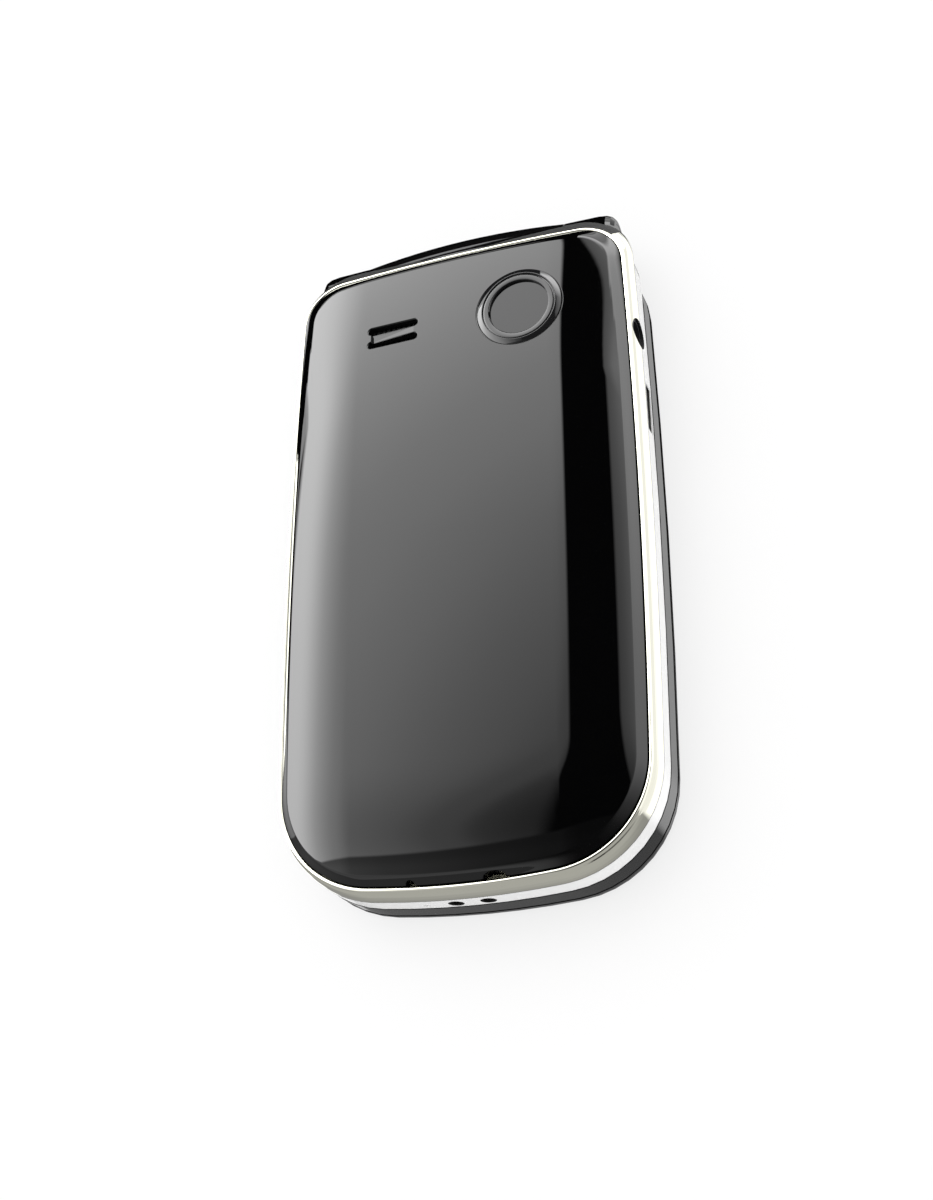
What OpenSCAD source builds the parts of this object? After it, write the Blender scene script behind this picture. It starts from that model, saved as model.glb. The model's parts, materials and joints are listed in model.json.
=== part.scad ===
// Clamshell feature phone with a removable rear cover, keypad and spring hinge.
// Frame: phone closed, resting on the outer face of its lid at z = 0.
// +X is the side with the sockets, +Y the hinge end, +Z the rear cover.

/* [Plan shape] */
// half width inside the trim lip
lip_half_w = 25.5; // [25.1:0.1:26.2]
// half length inside the trim lip
lip_half_l = 47.7; // [47.3:0.1:48.4]
// radius of the slight outward bow of each long side
side_bow_r = 1158; // [900:10:1500]
// radius of the outward bow of the hinge end
hinge_end_r = 340; // [280:10:420]
// radius of the outward bow of the foot end
foot_end_r = 126; // [110:2:150]
// corner radius at the hinge end, at the lip
hinge_corner_r = 6.7; // [6.4:0.1:7.4]
// corner radius at the foot end, at the lip
foot_corner_r = 13.8; // [13:0.2:15]
// corner radius of the lid beside the hinge
lid_corner_r = 11; // [10:0.5:12]
// how far the main wall stands out from the lip
wall_out = 1.19; // [1.1:0.05:1.4]
// how far the rim of the trim stands out from the lip
rim_out = 0.51; // [0.4:0.05:0.7]
// how far the lid cover stands out from the lip at its widest
lid_out = 1.34; // [1.25:0.05:1.5]

/* [Heights] */
// joint line between lid cover and lid housing
lid_split_z = 3.1; // [3:0.1:3.3]
// inner face of the lid
lid_top_z = 6.6; // [6.5:0.05:6.65]
// gap between lid and main body when folded
fold_gap = 0.2; // [0.15:0.05:0.3]
// lower edge of the trim band
band_z = 10.06; // [10:0.02:10.1]
// lip of the trim band, where the rear cover starts
lip_z = 13.33; // [13.2:0.05:13.5]
// highest point of the rear cover
crown_z = 16.9; // [16.8:0.1:17.3]
// drop of the rear cover from its middle line to its long edges
crown_drop_x = 0.65; // [0.5:0.05:0.75]
// drop of the rear cover from its middle to its hinge end
crown_drop_head = 1.8; // [1.6:0.1:1.9]
// drop of the rear cover from its middle to its foot end
crown_drop_foot = 0.6; // [0.4:0.1:0.8]
// width of the roll along the rear cover's long edges
roll_w = 10.7; // [10:0.1:11]
// radius of that roll
roll_r = 28; // [27:0.5:34]
// length of the sweep down to the foot end
sweep_l = 16; // [14:0.5:18]
// depth of that sweep
sweep = 1.73; // [1.5:0.05:1.9]
// width of the small round along the rear cover's edge
edge_w = 1.25; // [1:0.05:1.5]
// width of that round at the hinge end
edge_w_head = 1.9; // [1.5:0.1:2.2]
// thickness of the rear cover
cover_t = 1.1; // [1:0.05:1.2]

/* [Hinge] */
// hinge axis, beyond the lip at the hinge end
hinge_out = 0.84; // [0.7:0.02:1]
// hinge axis height
hinge_z = 7.8; // [7.7:0.05:7.9]
// radius of the lid's hinge barrel at its middle
barrel_r = 4.8; // [4.6:0.05:4.85]
// how much thinner the barrel is at its ends
barrel_taper = 0.95; // [0.8:0.05:1.1]
// half length of the barrel
barrel_half = 15.6; // [15:0.1:16]
// outer end of each hinge ear
ear_end = 23.4; // [23:0.1:23.6]
// radius of the hinge pins
pin_r = 1.5; // [1.4:0.05:1.6]
// radial running clearance of the pins in the ears
pin_clear = 0.05; // [0.03:0.01:0.08]
// radius of the spring cartridge inside the barrel
cartridge_r = 2.6; // [2.4:0.05:2.7]

/* [Keypad] */
// width of a number key
key_w = 13; // [12:0.2:13.4]
// space between two rows of number keys
key_space_y = 2; // [1.8:0.1:2.6]
// corner radius of the keys
key_corner = 2; // [1:0.2:3]
// spacing of the number keys across
key_pitch_x = 14.6; // [14:0.2:15]
// middle of the first row of number keys, from the middle of the navigation ring
row_out = 15; // [14.6:0.1:15.4]
// middle of the last row of number keys, from the lip at the foot end
last_row_in = 16.2; // [15.6:0.1:17]
// gap around each key in the face plate
key_gap = 0.15; // [0.1:0.05:0.2]
// travel of every key
key_travel = 0.3; // [0.2:0.05:0.35]
// middle of the navigation ring, from the lip at the hinge end
nav_in = 34.2; // [33.8:0.1:34.8]
// outer radius of the navigation ring
nav_r = 8.4; // [8:0.1:8.6]
// radius of the centre key
ok_r = 3.4; // [3:0.1:3.6]

/* [Openings] */
// camera ring, across
cam_x = 10.2; // [9.8:0.1:10.6]
// camera ring, from the lip at the hinge end
cam_in = 13.3; // [12.9:0.1:13.7]
// outer radius of the camera ring
cam_ring_r = 6.3; // [6.1:0.05:6.5]
// loudspeaker slots, across
slot_x = -9.3; // [-10:0.1:-9]
// loudspeaker slots, from the lip at the hinge end
slot_in = 13.2; // [12.8:0.1:13.6]
// distance between the slots
slot_pitch = 2.45; // [2.3:0.05:2.6]
// width of a slot
slot_w = 1.15; // [1:0.05:1.3]
// distance between the end centres of a slot
slot_run = 6.7; // [6:0.1:7]
// headset socket, from the lip at the hinge end
jack_in = 18.4; // [18.2:0.1:18.7]
// headset socket, height
jack_z = 10.5; // [10.4:0.05:10.6]
// radius of the headset socket's bore
jack_r = 1.8; // [1.77:0.01:1.85]
// radius of the hole in the wall in front of it
jack_hole_r = 2.25; // [2.1:0.05:2.4]
// charging socket, from the lip at the hinge end
usb_in = 29.7; // [29.4:0.1:30]
// charging socket, height
usb_z = 8.45; // [8.4:0.05:8.5]
// half spacing of the charging contact wells
well_x = 2.18; // [2.1:0.02:2.3]
// radius of a charging contact well
well_r = 1.05; // [0.95:0.05:1.15]
// fingernail notch in the rear cover, across
notch_x = 5; // [4.5:0.1:5.5]
// microphone notch in the rear cover, across
mic_x = -6.3; // [-6.6:0.1:-6]
// middle of the volume rocker, from the lip at the hinge end
rocker_in = 31.2; // [30.7:0.1:31.7]
// length of the volume rocker
rocker_l = 11; // [10:0.2:11.4]

/* [Power] */
// battery width
battery_w = 34; // [32:0.5:34.4]
// battery thickness
battery_t = 3.1; // [2.8:0.1:3.2]
// room for camera, loudspeaker and contacts between battery bay and hinge-end lip
head_room = 25.5; // [25.3:0.1:27]
// card holder, from the lip at the foot end
card_in = 2.8; // [2.6:0.1:3]
// length of the card holder
card_l = 13.2; // [13:0.1:13.6]

/* [Hidden] */
$fn = 64;

// cut-through margin
eps = 0.02;
// visible gap between fixed neighbours
seam = 0.06;
// running gap between centre key and navigation ring
ring_gap = 0.4;
// swing clearance around hinge barrel and ears
swing = 0.25;
// segments along each arc of the plan: foot, foot corner, side, hinge corner, hinge end
arc_n = [3, 10, 4, 8, 3];

// Places along the phone, tied to its two ends
hinge_y = lip_half_l + hinge_out;
cam_y = lip_half_l - cam_in;
slot_y = lip_half_l - slot_in;
jack_y = lip_half_l - jack_in;
usb_y = lip_half_l - usb_in;
nav_y = lip_half_l - nav_in;
rocker_y = lip_half_l - rocker_in;
row_y = nav_y - row_out;
foot = -lip_half_l;
key_pitch_y = (row_y - foot - last_row_in) / 3;
key_l = key_pitch_y - key_space_y;

// Face plate of the keypad side
face_z = lid_top_z + fold_gap;
face_t = 1;
face_in_z = face_z + face_t;
recess_depth = 0.4;
keypad_w = 2 * lip_half_w - 6.4;
keypad_head_y = nav_y + 11.2;
keypad_foot_y = foot + 9.8;
wall_t = 1.8;

// Keys, from the face inwards
key_face_z = face_z + 0.15;
flange_z = face_in_z + 0.05;
flange_t = 0.35;
flange_out = 0.4;
membrane_z = flange_z + flange_t + key_travel + 0.1;
membrane_t = 0.35;
pcb_z = 9.7;
pcb_t = 0.8;
dome_t = 0.3;

// Rear housing
tray_in = 1.15;
tray_z = pcb_z + pcb_t + 0.15;
tray_t = 0.55;
bay_z = tray_z + tray_t;
shelf_z = 12.35;
deck_in = 3;
deck_z = 13.1;

// Battery bay between the card bay and the head room, with a rib on its foot side
bay_gap = 0.3;
bay_rib = 2;
card_gap = 0.3;
card_foot_y = foot + card_in;
card_head_y = card_foot_y + card_l;
bay_foot_y = card_head_y + card_gap + bay_rib;
bay_head_y = lip_half_l - head_room;
battery_l = bay_head_y - bay_foot_y - 2 * bay_gap;
bay_y = (bay_head_y + bay_foot_y) / 2;
contact_room = 2.6;

// Vibration motor, lying beside the battery
motor_r = 1.6;
motor_x = -20.9;
motor_z = tray_z + 0.05 + motor_r;

// Cover surfaces
cover_gap = 0.1;
skirt_in = 1.2;
skirt_z = shelf_z + 0.08;
fade_y = 22;
fade_l = 25;
fade_share = 0.4;
edge_power = 1.4;

// Cuts that run out through the top
top_z = 20;

// Pieces that sit in the rear housing: half widths, lengths and ends
contact_half_w = 7;
contact_pitch = 4;
cam_half = 3.2;
speaker_w = 14.4;
speaker_l = 9.4;
card_half_w = 14.3;
card_z = bay_z + 0.95;
usb_half = 3.6;
jack_half = 2.2;
jack_l = 10;
jack_x1 = side_x(jack_y) - skirt_in - 0.3;
jack_x0 = jack_x1 - jack_l;
motor_y = nav_y - 13.6;
screw_head_z = deck_z - 0.7;
well_z = usb_z - 0.2;
well_back_y = foot + 2.6;
hinge_cap_r = 2;
pin_head_x = 10.7;

// Hinge ears
ear_start = barrel_half + 0.3;
ear_r = barrel_r - barrel_taper;
ear_top_y = hinge_y + sqrt(ear_r * ear_r - (band_z - hinge_z) * (band_z - hinge_z));
shoulder = ear_top_y - lip_half_l - wall_out;
shoulder_r = hinge_corner_r + 0.5;

// Crown heights at the camera and the loudspeaker
cam_z = crown([cam_x, cam_y]);
speaker_z = crown([slot_x, slot_y]) - cover_t - 0.35;

// Keys: middle of the other keys, and screw places
side_key_x = 15.5;
side_key_w = 10;
side_key_l = 6.5;
soft_y = nav_y + 6;
call_y = nav_y - 3.3;
screw_spots = [[21.4, nav_y - 8.8], [18.6, foot + 8.1], [19.4, lip_half_l - 9.3]];
boss_r = 1.6;

// Volume rocker and the mouth microphone
rocker_z = 8.6;
rocker_h = 1.8;
mouth_x = -8;
mouth_y = foot + 6.2;

// Display window in the lid, and the pieces around it
window_w = 2 * lip_half_w - 5.8;
window_foot_y = foot + 12.6;
window_head_y = lip_half_l - 16.6;
display_foot_y = foot + 21.3;
display_head_y = lip_half_l - 19.3;
display_half_w = window_w / 2 - 3;
view_half_w = display_half_w - 1.3;
view_in = 3.1;
ear_y = foot + 8.3;
outer_y = lip_half_l - 31.7;
outer_w = 27;
outer_l = 21;
outer_view_w = 22;
outer_view_l = 16;
bumper_x = 17;
bumper_r = 1.45;

// Centre of the circle of radius rf that touches circles a and b from inside
function meet(a, ra, b, rb, up) =
    let (d = norm(b - a), m = (ra * ra - rb * rb + d * d) / (2 * d))
    let (h = sqrt(ra * ra - m * m), u = (b - a) / d)
    let (p = a + m * u + h * [-u[1], u[0]], q = a + m * u - h * [-u[1], u[0]])
    (p[1] > q[1]) == up ? p : q;

function angle_from(a, b) = atan2(b[1] - a[1], b[0] - a[0]);

function arc(c, r, a0, a1, n) =
    [for (i = [0 : n - 1]) let (a = a0 + (a1 - a0) * i / n) [c[0] + r * cos(a), c[1] + r * sin(a)]];

// Outline of the phone moved outwards by o, its hinge end stretched by e, with hinge corner rh
function plan(o = 0, e = 0, rh = hinge_corner_r) =
    let (t = [0, lip_half_l + e - hinge_end_r], s = [lip_half_w - side_bow_r, 0])
    let (b = [0, foot_end_r - lip_half_l])
    let (fh = meet(t, hinge_end_r - rh, s, side_bow_r - rh, true))
    let (ff = meet(b, foot_end_r - foot_corner_r, s, side_bow_r - foot_corner_r, false))
    let (a1 = angle_from(b, ff), a2 = angle_from(s, ff))
    let (a3 = angle_from(s, fh), a4 = angle_from(t, fh))
    let (half = concat(
        arc(b, foot_end_r + o, -90, a1, arc_n[0]),
        arc(ff, foot_corner_r + o, a1, a2, arc_n[1]),
        arc(s, side_bow_r + o, a2, a3, arc_n[2]),
        arc(fh, rh + o, a3, a4, arc_n[3]),
        arc(t, hinge_end_r + o, a4, 90, arc_n[4])))
    let (n = len(half))
    concat(half, [[0, t[1] + hinge_end_r + o]],
        [for (i = [n - 1 : -1 : 1]) [-half[i][0], half[i][1]]]);

// Lip line of the long side at y, and of the foot end at x
function side_x(y) = lip_half_w - side_bow_r + sqrt(side_bow_r * side_bow_r - y * y);

function foot_y(x) = foot_end_r - lip_half_l - sqrt(foot_end_r * foot_end_r - x * x);

// Rises smoothly from 0 to 1 towards the hinge end
function head_fade(y) = let (t = min(1, max(0, (y - fade_y) / fade_l))) t * t * (3 - 2 * t);

// Height of the rear cover before its edge round: a crown, a roll along each long edge
// that eases towards the hinge, and a sweep down to the foot
function crown(p) =
    let (drop_y = p[1] > 0 ? crown_drop_head : crown_drop_foot)
    let (side_d = max(0, roll_w - side_x(p[1]) + abs(p[0])))
    let (foot_d = max(0, 1 - (p[1] - foot_y(p[0])) / sweep_l))
    crown_z - crown_drop_x * pow(p[0] / lip_half_w, 2) - drop_y * pow(p[1] / lip_half_l, 2)
        - (1 - fade_share * head_fade(p[1])) * side_d * side_d / (2 * roll_r)
        - sweep * pow(foot_d, 3);

// Share of that height reached at distance d inside the lip
function edge(y, d) =
    let (w = edge_w + (edge_w_head - edge_w) * head_fade(y))
    d >= w ? 1 : 1 - pow(1 - d / w, edge_power);

function cover_top(p, d) = lip_z + (crown(p) - lip_z) * edge(p[1], d);

function ring_z(pts, z) = [for (p = pts) [p[0], p[1], z]];

// Solid through a list of rings, with flat ends, or pointed ends when tips are given
module loft(rings, tips = []) {
    n = len(rings[0]);
    m = len(rings);
    base = [for (r = rings) for (p = r) p];
    walls = [for (i = [0 : m - 2]) for (j = [0 : n - 1]) let (k = (j + 1) % n)
        each [[i * n + j, (i + 1) * n + k, i * n + k], [i * n + j, (i + 1) * n + j, (i + 1) * n + k]]];
    flat = [[for (j = [0 : n - 1]) j], [for (j = [n - 1 : -1 : 0]) (m - 1) * n + j]];
    fans = [for (j = [0 : n - 1]) let (k = (j + 1) % n)
        each [[m * n, j, k], [m * n + 1, (m - 1) * n + k, (m - 1) * n + j]]];
    if (len(tips) == 0) {
        polyhedron(points = base, faces = concat(walls, flat), convexity = 6);
    }
    if (len(tips) == 2) {
        polyhedron(points = concat(base, tips), faces = concat(walls, fans), convexity = 6);
    }
}

// Closed band through a loop of rings
module band(rings) {
    n = len(rings[0]);
    m = len(rings);
    polyhedron(points = [for (r = rings) for (p = r) p],
        faces = [for (i = [0 : m - 1]) for (j = [0 : n - 1])
            let (k = (j + 1) % n, u = (i + 1) % m)
            each [[i * n + j, u * n + k, i * n + k], [i * n + j, u * n + j, u * n + k]]],
        convexity = 8);
}

module slab(o, z0, z1, e = 0, rh = hinge_corner_r) {
    translate([0, 0, z0])
        linear_extrude(z1 - z0)
            polygon(plan(o, e, rh));
}

module tile(w, l, r) {
    square([w - 2 * r, l], center = true);
    square([w, l - 2 * r], center = true);
    for (sx = [-1, 1]) {
        for (sy = [-1, 1]) {
            translate([sx * (w / 2 - r), sy * (l / 2 - r)])
                circle(r, $fn = 32);
        }
    }
}

module block(x0, x1, y0, y1, z0, z1) {
    translate([x0, y0, z0])
        cube([x1 - x0, y1 - y0, z1 - z0]);
}

// Rounded plate across the middle, from y0 to y1
module plate(w, y0, y1, z, t, r) {
    translate([0, (y0 + y1) / 2, z])
        linear_extrude(t)
            tile(w, y1 - y0, r);
}

module post(x, y, z0, z1, r, n = 32) {
    translate([x, y, z0])
        cylinder(h = z1 - z0, r = r, $fn = n);
}

module rod_x(x0, x1, y, z, r, n = 48) {
    translate([x0, y, z])
        rotate([0, 90, 0])
            cylinder(h = x1 - x0, r = r, $fn = n);
}

module rod_y(x, y0, y1, z, r, n = 32) {
    translate([x, y0, z])
        rotate([-90, 0, 0])
            cylinder(h = y1 - y0, r = r, $fn = n);
}

// Hinge shapes, turned about the hinge axis
function barrel_at(x) = barrel_r - barrel_taper * pow(x / barrel_half, 2);

module about_hinge() {
    translate([0, hinge_y, hinge_z])
        rotate([0, 90, 0])
            rotate_extrude($fn = 72)
                children();
}

module barrel_body(grow, half) {
    steps = 6;
    about_hinge()
        polygon(concat([[0, half], [0, -half]],
            [for (i = [-steps : steps]) let (x = half * i / steps)
                [barrel_at(min(barrel_half, abs(x))) + grow, x]]));
}

module ear_body(side, grow, start) {
    about_hinge()
        polygon([for (p = [[0, start], [ear_r + grow, start], [ear_r - 0.1 + grow, ear_end - 2.4],
            [ear_r - 0.25 + grow, ear_end - 1.2], [ear_r - 0.55 + grow, ear_end - 0.5],
            [ear_r - 1.15 + grow, ear_end + grow], [0, ear_end + grow]]) [p[0], side * p[1]]]);
}

module ears(grow, start) {
    ear_body(1, grow, start);
    ear_body(-1, grow, start);
}

// Rear cover group

// each entry: distance inside the lip, then scale towards the middle
under_steps = [[skirt_in, 1], [2.2, 1], [3.6, 1], [5.4, 1], [5.4, 0.84], [5.4, 0.64], [5.4, 0.36]];
crown_steps = [[cover_gap, 1], [0.3, 1], [0.6, 1], [0.95, 1], [1.4, 1], [2.1, 1], [3.2, 1], [4.3, 1],
    [5.4, 1], [5.4, 0.9], [5.4, 0.8], [5.4, 0.66], [5.4, 0.48], [5.4, 0.26]];

module cover_shell() {
    inner = [for (i = [len(under_steps) - 1 : -1 : 0]) let (q = under_steps[i])
        [for (p = plan(-q[0]) * q[1]) [p[0], p[1], crown(p) - cover_t]]];
    outer = [for (q = crown_steps)
        [for (p = plan(-q[0]) * q[1]) [p[0], p[1], cover_top(p, q[0])]]];
    loft(concat(inner, [ring_z(plan(-skirt_in), skirt_z), ring_z(plan(-cover_gap), skirt_z)], outer),
        [[0, 0, crown_z - cover_t], [0, 0, crown_z]]);
}

module slot_cut(y) {
    translate([slot_x, y, speaker_z - 1])
        linear_extrude(cover_t + 2.5)
            union() {
                square([slot_run, slot_w], center = true);
                translate([-slot_run / 2, 0])
                    circle(slot_w / 2, $fn = 24);
                translate([slot_run / 2, 0])
                    circle(slot_w / 2, $fn = 24);
            }
}

module rear_cover() {
    slot_floor = 0.2;
    notch_half = 1.9;
    notch_deep = 0.75;
    notch_rad = (notch_half * notch_half + notch_deep * notch_deep) / (2 * notch_deep);
    notch_y = foot + 0.12;
    color([0.02, 0.02, 0.022])
    difference() {
        union() {
            cover_shell();
            translate([slot_x, slot_y, speaker_z])
                linear_extrude(cover_t - slot_floor)
                    tile(slot_run + 4.3, slot_pitch + 3.95, 1);
        }
        post(cam_x, cam_y, 12, 20, cam_ring_r - 0.4, 64);
        post(cam_x, cam_y, cam_z - 0.3, 20, cam_ring_r + 0.04, 64);
        slot_cut(slot_y - slot_pitch / 2);
        slot_cut(slot_y + slot_pitch / 2);
        translate([slot_x, slot_y, speaker_z + cover_t - slot_floor])
            linear_extrude(2)
                square([slot_run, slot_pitch], center = true);
        post(notch_x, notch_y - notch_rad + notch_deep, lip_z - 0.3, lip_z + 3, notch_rad, 48);
        post(mic_x, notch_y, lip_z - 0.3, lip_z + 3, 0.65, 24);
        barrel_body(swing, barrel_half + 0.3);
    }
}

module camera_ring() {
    color([0.15, 0.15, 0.15])
    translate([cam_x, cam_y, cam_z])
        rotate_extrude($fn = 96)
            polygon([[3.9, -0.95], [cam_ring_r - 0.45, -0.95], [cam_ring_r - 0.45, -0.28],
                [cam_ring_r, -0.28], [cam_ring_r, 0.02], [cam_ring_r - 0.3, 0.32],
                [cam_ring_r - 0.65, 0.45], [cam_ring_r - 0.9, 0.42], [cam_ring_r - 1, 0.25],
                [4.45, 0.12], [4.45, -0.75], [3.9, -0.75]]);
}

module camera_window() {
    color([0.3, 0.32, 0.33])
    post(cam_x, cam_y, cam_z - 0.74, cam_z - 0.24, 4.42, 64);
}

module speaker_mesh() {
    mesh_t = 0.25;
    color([0.25, 0.25, 0.26])
    translate([slot_x, slot_y, speaker_z - mesh_t])
        linear_extrude(mesh_t)
            difference() {
                tile(10.4, 5.8, 0.9);
                for (i = [-5 : 5]) {
                    for (j = [-2 : 2]) {
                        translate([i * 0.8 + (j % 2 == 0 ? 0 : 0.4), j * 0.8])
                            circle(0.22, $fn = 16);
                    }
                }
            }
}

// Main body shells

module rear_trim_band() {
    // each entry: outward offset, height, share of the stretch towards the hinge
    outer = [[wall_out - 0.03, band_z, 1], [wall_out - 0.09, band_z + 0.9, 0.8],
        [wall_out - 0.22, band_z + 1.8, 0.52], [wall_out - 0.4, band_z + 2.5, 0.27],
        [rim_out + 0.06, lip_z - 0.45, 0.1], [rim_out, lip_z - 0.2, 0], [rim_out - 0.2, lip_z - 0.04, 0],
        [0, lip_z, 0], [0, shelf_z, 0], [-1, shelf_z, 0], [-1, band_z, 0]];
    color([0.82, 0.8, 0.7])
    difference() {
        band([for (q = outer) ring_z(plan(q[0], shoulder * q[2],
            hinge_corner_r + (shoulder_r - hinge_corner_r) * q[2]), q[1])]);
        barrel_body(swing, barrel_half + 0.3);
        ears(0.02, barrel_half);
        rod_x(20, 30, jack_y, jack_z, jack_hole_r);
    }
}

module rear_housing() {
    bay_half_w = battery_w / 2 + bay_gap;
    hole_z = tray_z - 1;
    arm_x = ear_end - 2.5;
    color([0.03, 0.03, 0.032])
    difference() {
        union() {
            slab(-tray_in, tray_z - 0.5, shelf_z - 0.05);
            slab(-deck_in, tray_z, deck_z);
            ear_body(1, 0, ear_start);
            ear_body(-1, 0, ear_start);
            block(ear_start, arm_x, hinge_y - 5.14, hinge_y - 3.3, 8.6, 11.5);
            block(-arm_x, -ear_start, hinge_y - 5.14, hinge_y - 3.3, 8.6, 11.5);
        }
        // room for the circuit board under the tray
        slab(-tray_in - 1.4, hole_z, tray_z);
        block(-14, 14, lip_half_l - 6.7, lip_half_l + 2.3, 6, tray_z);
        block(-bay_half_w, bay_half_w, bay_foot_y, bay_head_y, bay_z, top_z);
        // contact block recess, camera, loudspeaker, socket and card places
        block(-contact_half_w - 0.4, contact_half_w + 0.4, bay_head_y - 1, bay_head_y + contact_room,
            bay_z, top_z);
        block(cam_x - cam_half - 0.3, cam_x + cam_half + 0.3, cam_y - cam_half - 0.1,
            cam_y + cam_half + 0.3, hole_z, top_z);
        block(slot_x - speaker_w / 2 - 0.3, slot_x + speaker_w / 2 + 0.3,
            slot_y - speaker_l / 2 - 0.3, slot_y + speaker_l / 2 + 0.3, bay_z, top_z);
        block(jack_x0 - 0.3, lip_half_w + 0.5, jack_y - jack_half - 0.25, jack_y + jack_half + 0.25,
            hole_z, top_z);
        rod_x(jack_x0 - 2.6, jack_x0 + 0.4, jack_y, jack_z, jack_hole_r);
        block(-card_half_w - card_gap, card_half_w + card_gap, card_foot_y - card_gap,
            card_head_y + card_gap, bay_z, top_z);
        // vibration motor pocket
        block(motor_x - motor_r - 0.3, motor_x + motor_r + 0.3, motor_y - 19.4, motor_y + 0.3,
            hole_z, top_z);
        for (p = screw_spots) {
            for (s = [-1, 1]) {
                post(s * p[0], p[1], hole_z, top_z, 0.85, 24);
                post(s * p[0], p[1], screw_head_z, top_z, 1.45, 24);
                post(s * p[0], p[1], hole_z, tray_z + 0.1, boss_r + 0.1, 24);
            }
        }
        barrel_body(swing, barrel_half + 0.3);
        rod_x(ear_start - 1, ear_end - 0.7, hinge_y, hinge_z, pin_r + pin_clear);
        rod_x(-ear_end + 0.7, -ear_start + 1, hinge_y, hinge_z, pin_r + pin_clear);
        rod_x(ear_end - 0.55, ear_end + 1, hinge_y, hinge_z, hinge_cap_r + 0.05);
        rod_x(-ear_end - 1, -ear_end + 0.55, hinge_y, hinge_z, hinge_cap_r + 0.05);
    }
}

module keypad_holes(grow) {
    for (i = [0 : 2]) {
        for (j = [0 : 3]) {
            translate([(i - 1) * key_pitch_x, row_y - j * key_pitch_y])
                tile(key_w + 2 * grow, key_l + 2 * grow, key_corner);
        }
    }
    for (s = [-1, 1]) {
        translate([s * side_key_x, soft_y])
            tile(side_key_w + 2 * grow, side_key_l + 2 * grow, key_corner);
        translate([s * side_key_x, call_y])
            tile(side_key_w + 2 * grow, side_key_l + 2 * grow, key_corner);
    }
    translate([0, nav_y])
        circle(nav_r + grow, $fn = 72);
}

module front_housing() {
    color([0.93, 0.93, 0.92])
    difference() {
        union() {
            difference() {
                slab(wall_out, face_z, band_z - seam);
                slab(wall_out - wall_t, face_in_z, band_z + 1);
            }
            for (p = screw_spots) {
                for (s = [-1, 1]) {
                    post(s * p[0], p[1], face_in_z - eps, tray_z - 0.02, boss_r);
                }
            }
        }
        // keypad recess and the key openings
        plate(keypad_w, keypad_foot_y, keypad_head_y, face_z - 1, 1 + recess_depth, 4);
        translate([0, 0, face_z - 1])
            linear_extrude(face_t + 2)
                keypad_holes(key_gap);
        for (p = screw_spots) {
            for (s = [-1, 1]) {
                post(s * p[0], p[1], face_in_z + 0.4, 11, 0.75, 24);
            }
        }
        // sockets, wells, rocker slot and microphone hole
        rod_x(20, 30, jack_y, jack_z, jack_hole_r);
        block(lip_half_w - 4.6, lip_half_w + 4, usb_y - usb_half - 0.15, usb_y + usb_half + 0.15,
            usb_z - 1.25, usb_z + 1.25);
        for (s = [-1, 1]) {
            rod_y(s * well_x, foot - 3.3, well_back_y, well_z, well_r);
        }
        block(-lip_half_w - 4, -lip_half_w + 3.5, rocker_y - rocker_l / 2 - 0.15,
            rocker_y + rocker_l / 2 + 0.15, rocker_z - rocker_h / 2 - 0.15, rocker_z + rocker_h / 2 + 0.15);
        rod_y(mic_x, foot - 3.3, foot + 1.7, usb_z - 0.4, 0.4, 24);
        post(mouth_x, mouth_y, face_z - 1, face_in_z + 1, 0.5, 24);
        barrel_body(swing, barrel_half + 0.3);
        ears(0.1, barrel_half);
        block(-ear_end + 1.8, -ear_start + 0.4, hinge_y - 5.34, hinge_y + 1.5, 8.5, 12);
        block(ear_start - 0.4, ear_end - 1.8, hinge_y - 5.34, hinge_y + 1.5, 8.5, 12);
    }
}

// Keypad

module cap_body(w, l) {
    translate([0, 0, key_face_z + 0.25])
        linear_extrude(flange_z - key_face_z - 0.25 + eps)
            tile(w, l, key_corner);
    translate([0, 0, key_face_z])
        linear_extrude(0.25 + eps)
            tile(w - 0.5, l - 0.5, key_corner - 0.25);
    translate([0, 0, flange_z])
        linear_extrude(flange_t)
            tile(w + 2 * flange_out, l + 2 * flange_out, key_corner);
}

module number_key(i, j) {
    color([0.9, 0.9, 0.9])
    translate([(i - 1) * key_pitch_x, row_y - j * key_pitch_y, 0])
        cap_body(key_w, key_l);
}

module side_key(s, y, c) {
    color(c)
    translate([s * side_key_x, y, 0])
        cap_body(side_key_w, side_key_l);
}

module key_1() {
    number_key(2, 0);
}

module key_2() {
    number_key(1, 0);
}

module key_3() {
    number_key(0, 0);
}

module key_4() {
    number_key(2, 1);
}

module key_5() {
    number_key(1, 1);
}

module key_6() {
    number_key(0, 1);
}

module key_7() {
    number_key(2, 2);
}

module key_8() {
    number_key(1, 2);
}

module key_9() {
    number_key(0, 2);
}

module key_star() {
    number_key(2, 3);
}

module key_0() {
    number_key(1, 3);
}

module key_hash() {
    number_key(0, 3);
}

module key_soft_left() {
    side_key(1, soft_y, [0.75, 0.75, 0.76]);
}

module key_soft_right() {
    side_key(-1, soft_y, [0.75, 0.75, 0.76]);
}

module key_call() {
    side_key(1, call_y, [0.1, 0.6, 0.25]);
}

module key_end() {
    side_key(-1, call_y, [0.75, 0.1, 0.1]);
}

module nav_ring() {
    color([0.7, 0.71, 0.73])
    translate([0, nav_y, 0])
        difference() {
            union() {
                translate([0, 0, key_face_z + 0.2])
                    cylinder(h = flange_z - key_face_z - 0.2 + eps, r = nav_r, $fn = 72);
                translate([0, 0, key_face_z])
                    cylinder(h = 0.2 + eps, r = nav_r - 0.3, $fn = 72);
                translate([0, 0, flange_z])
                    cylinder(h = flange_t, r = nav_r + flange_out, $fn = 72);
            }
            translate([0, 0, key_face_z - 1])
                cylinder(h = 4, r = ok_r + ring_gap, $fn = 48);
            translate([0, 0, flange_z - 0.2])
                cylinder(h = 4, r = ok_r + flange_out + ring_gap, $fn = 48);
        }
}

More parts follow.
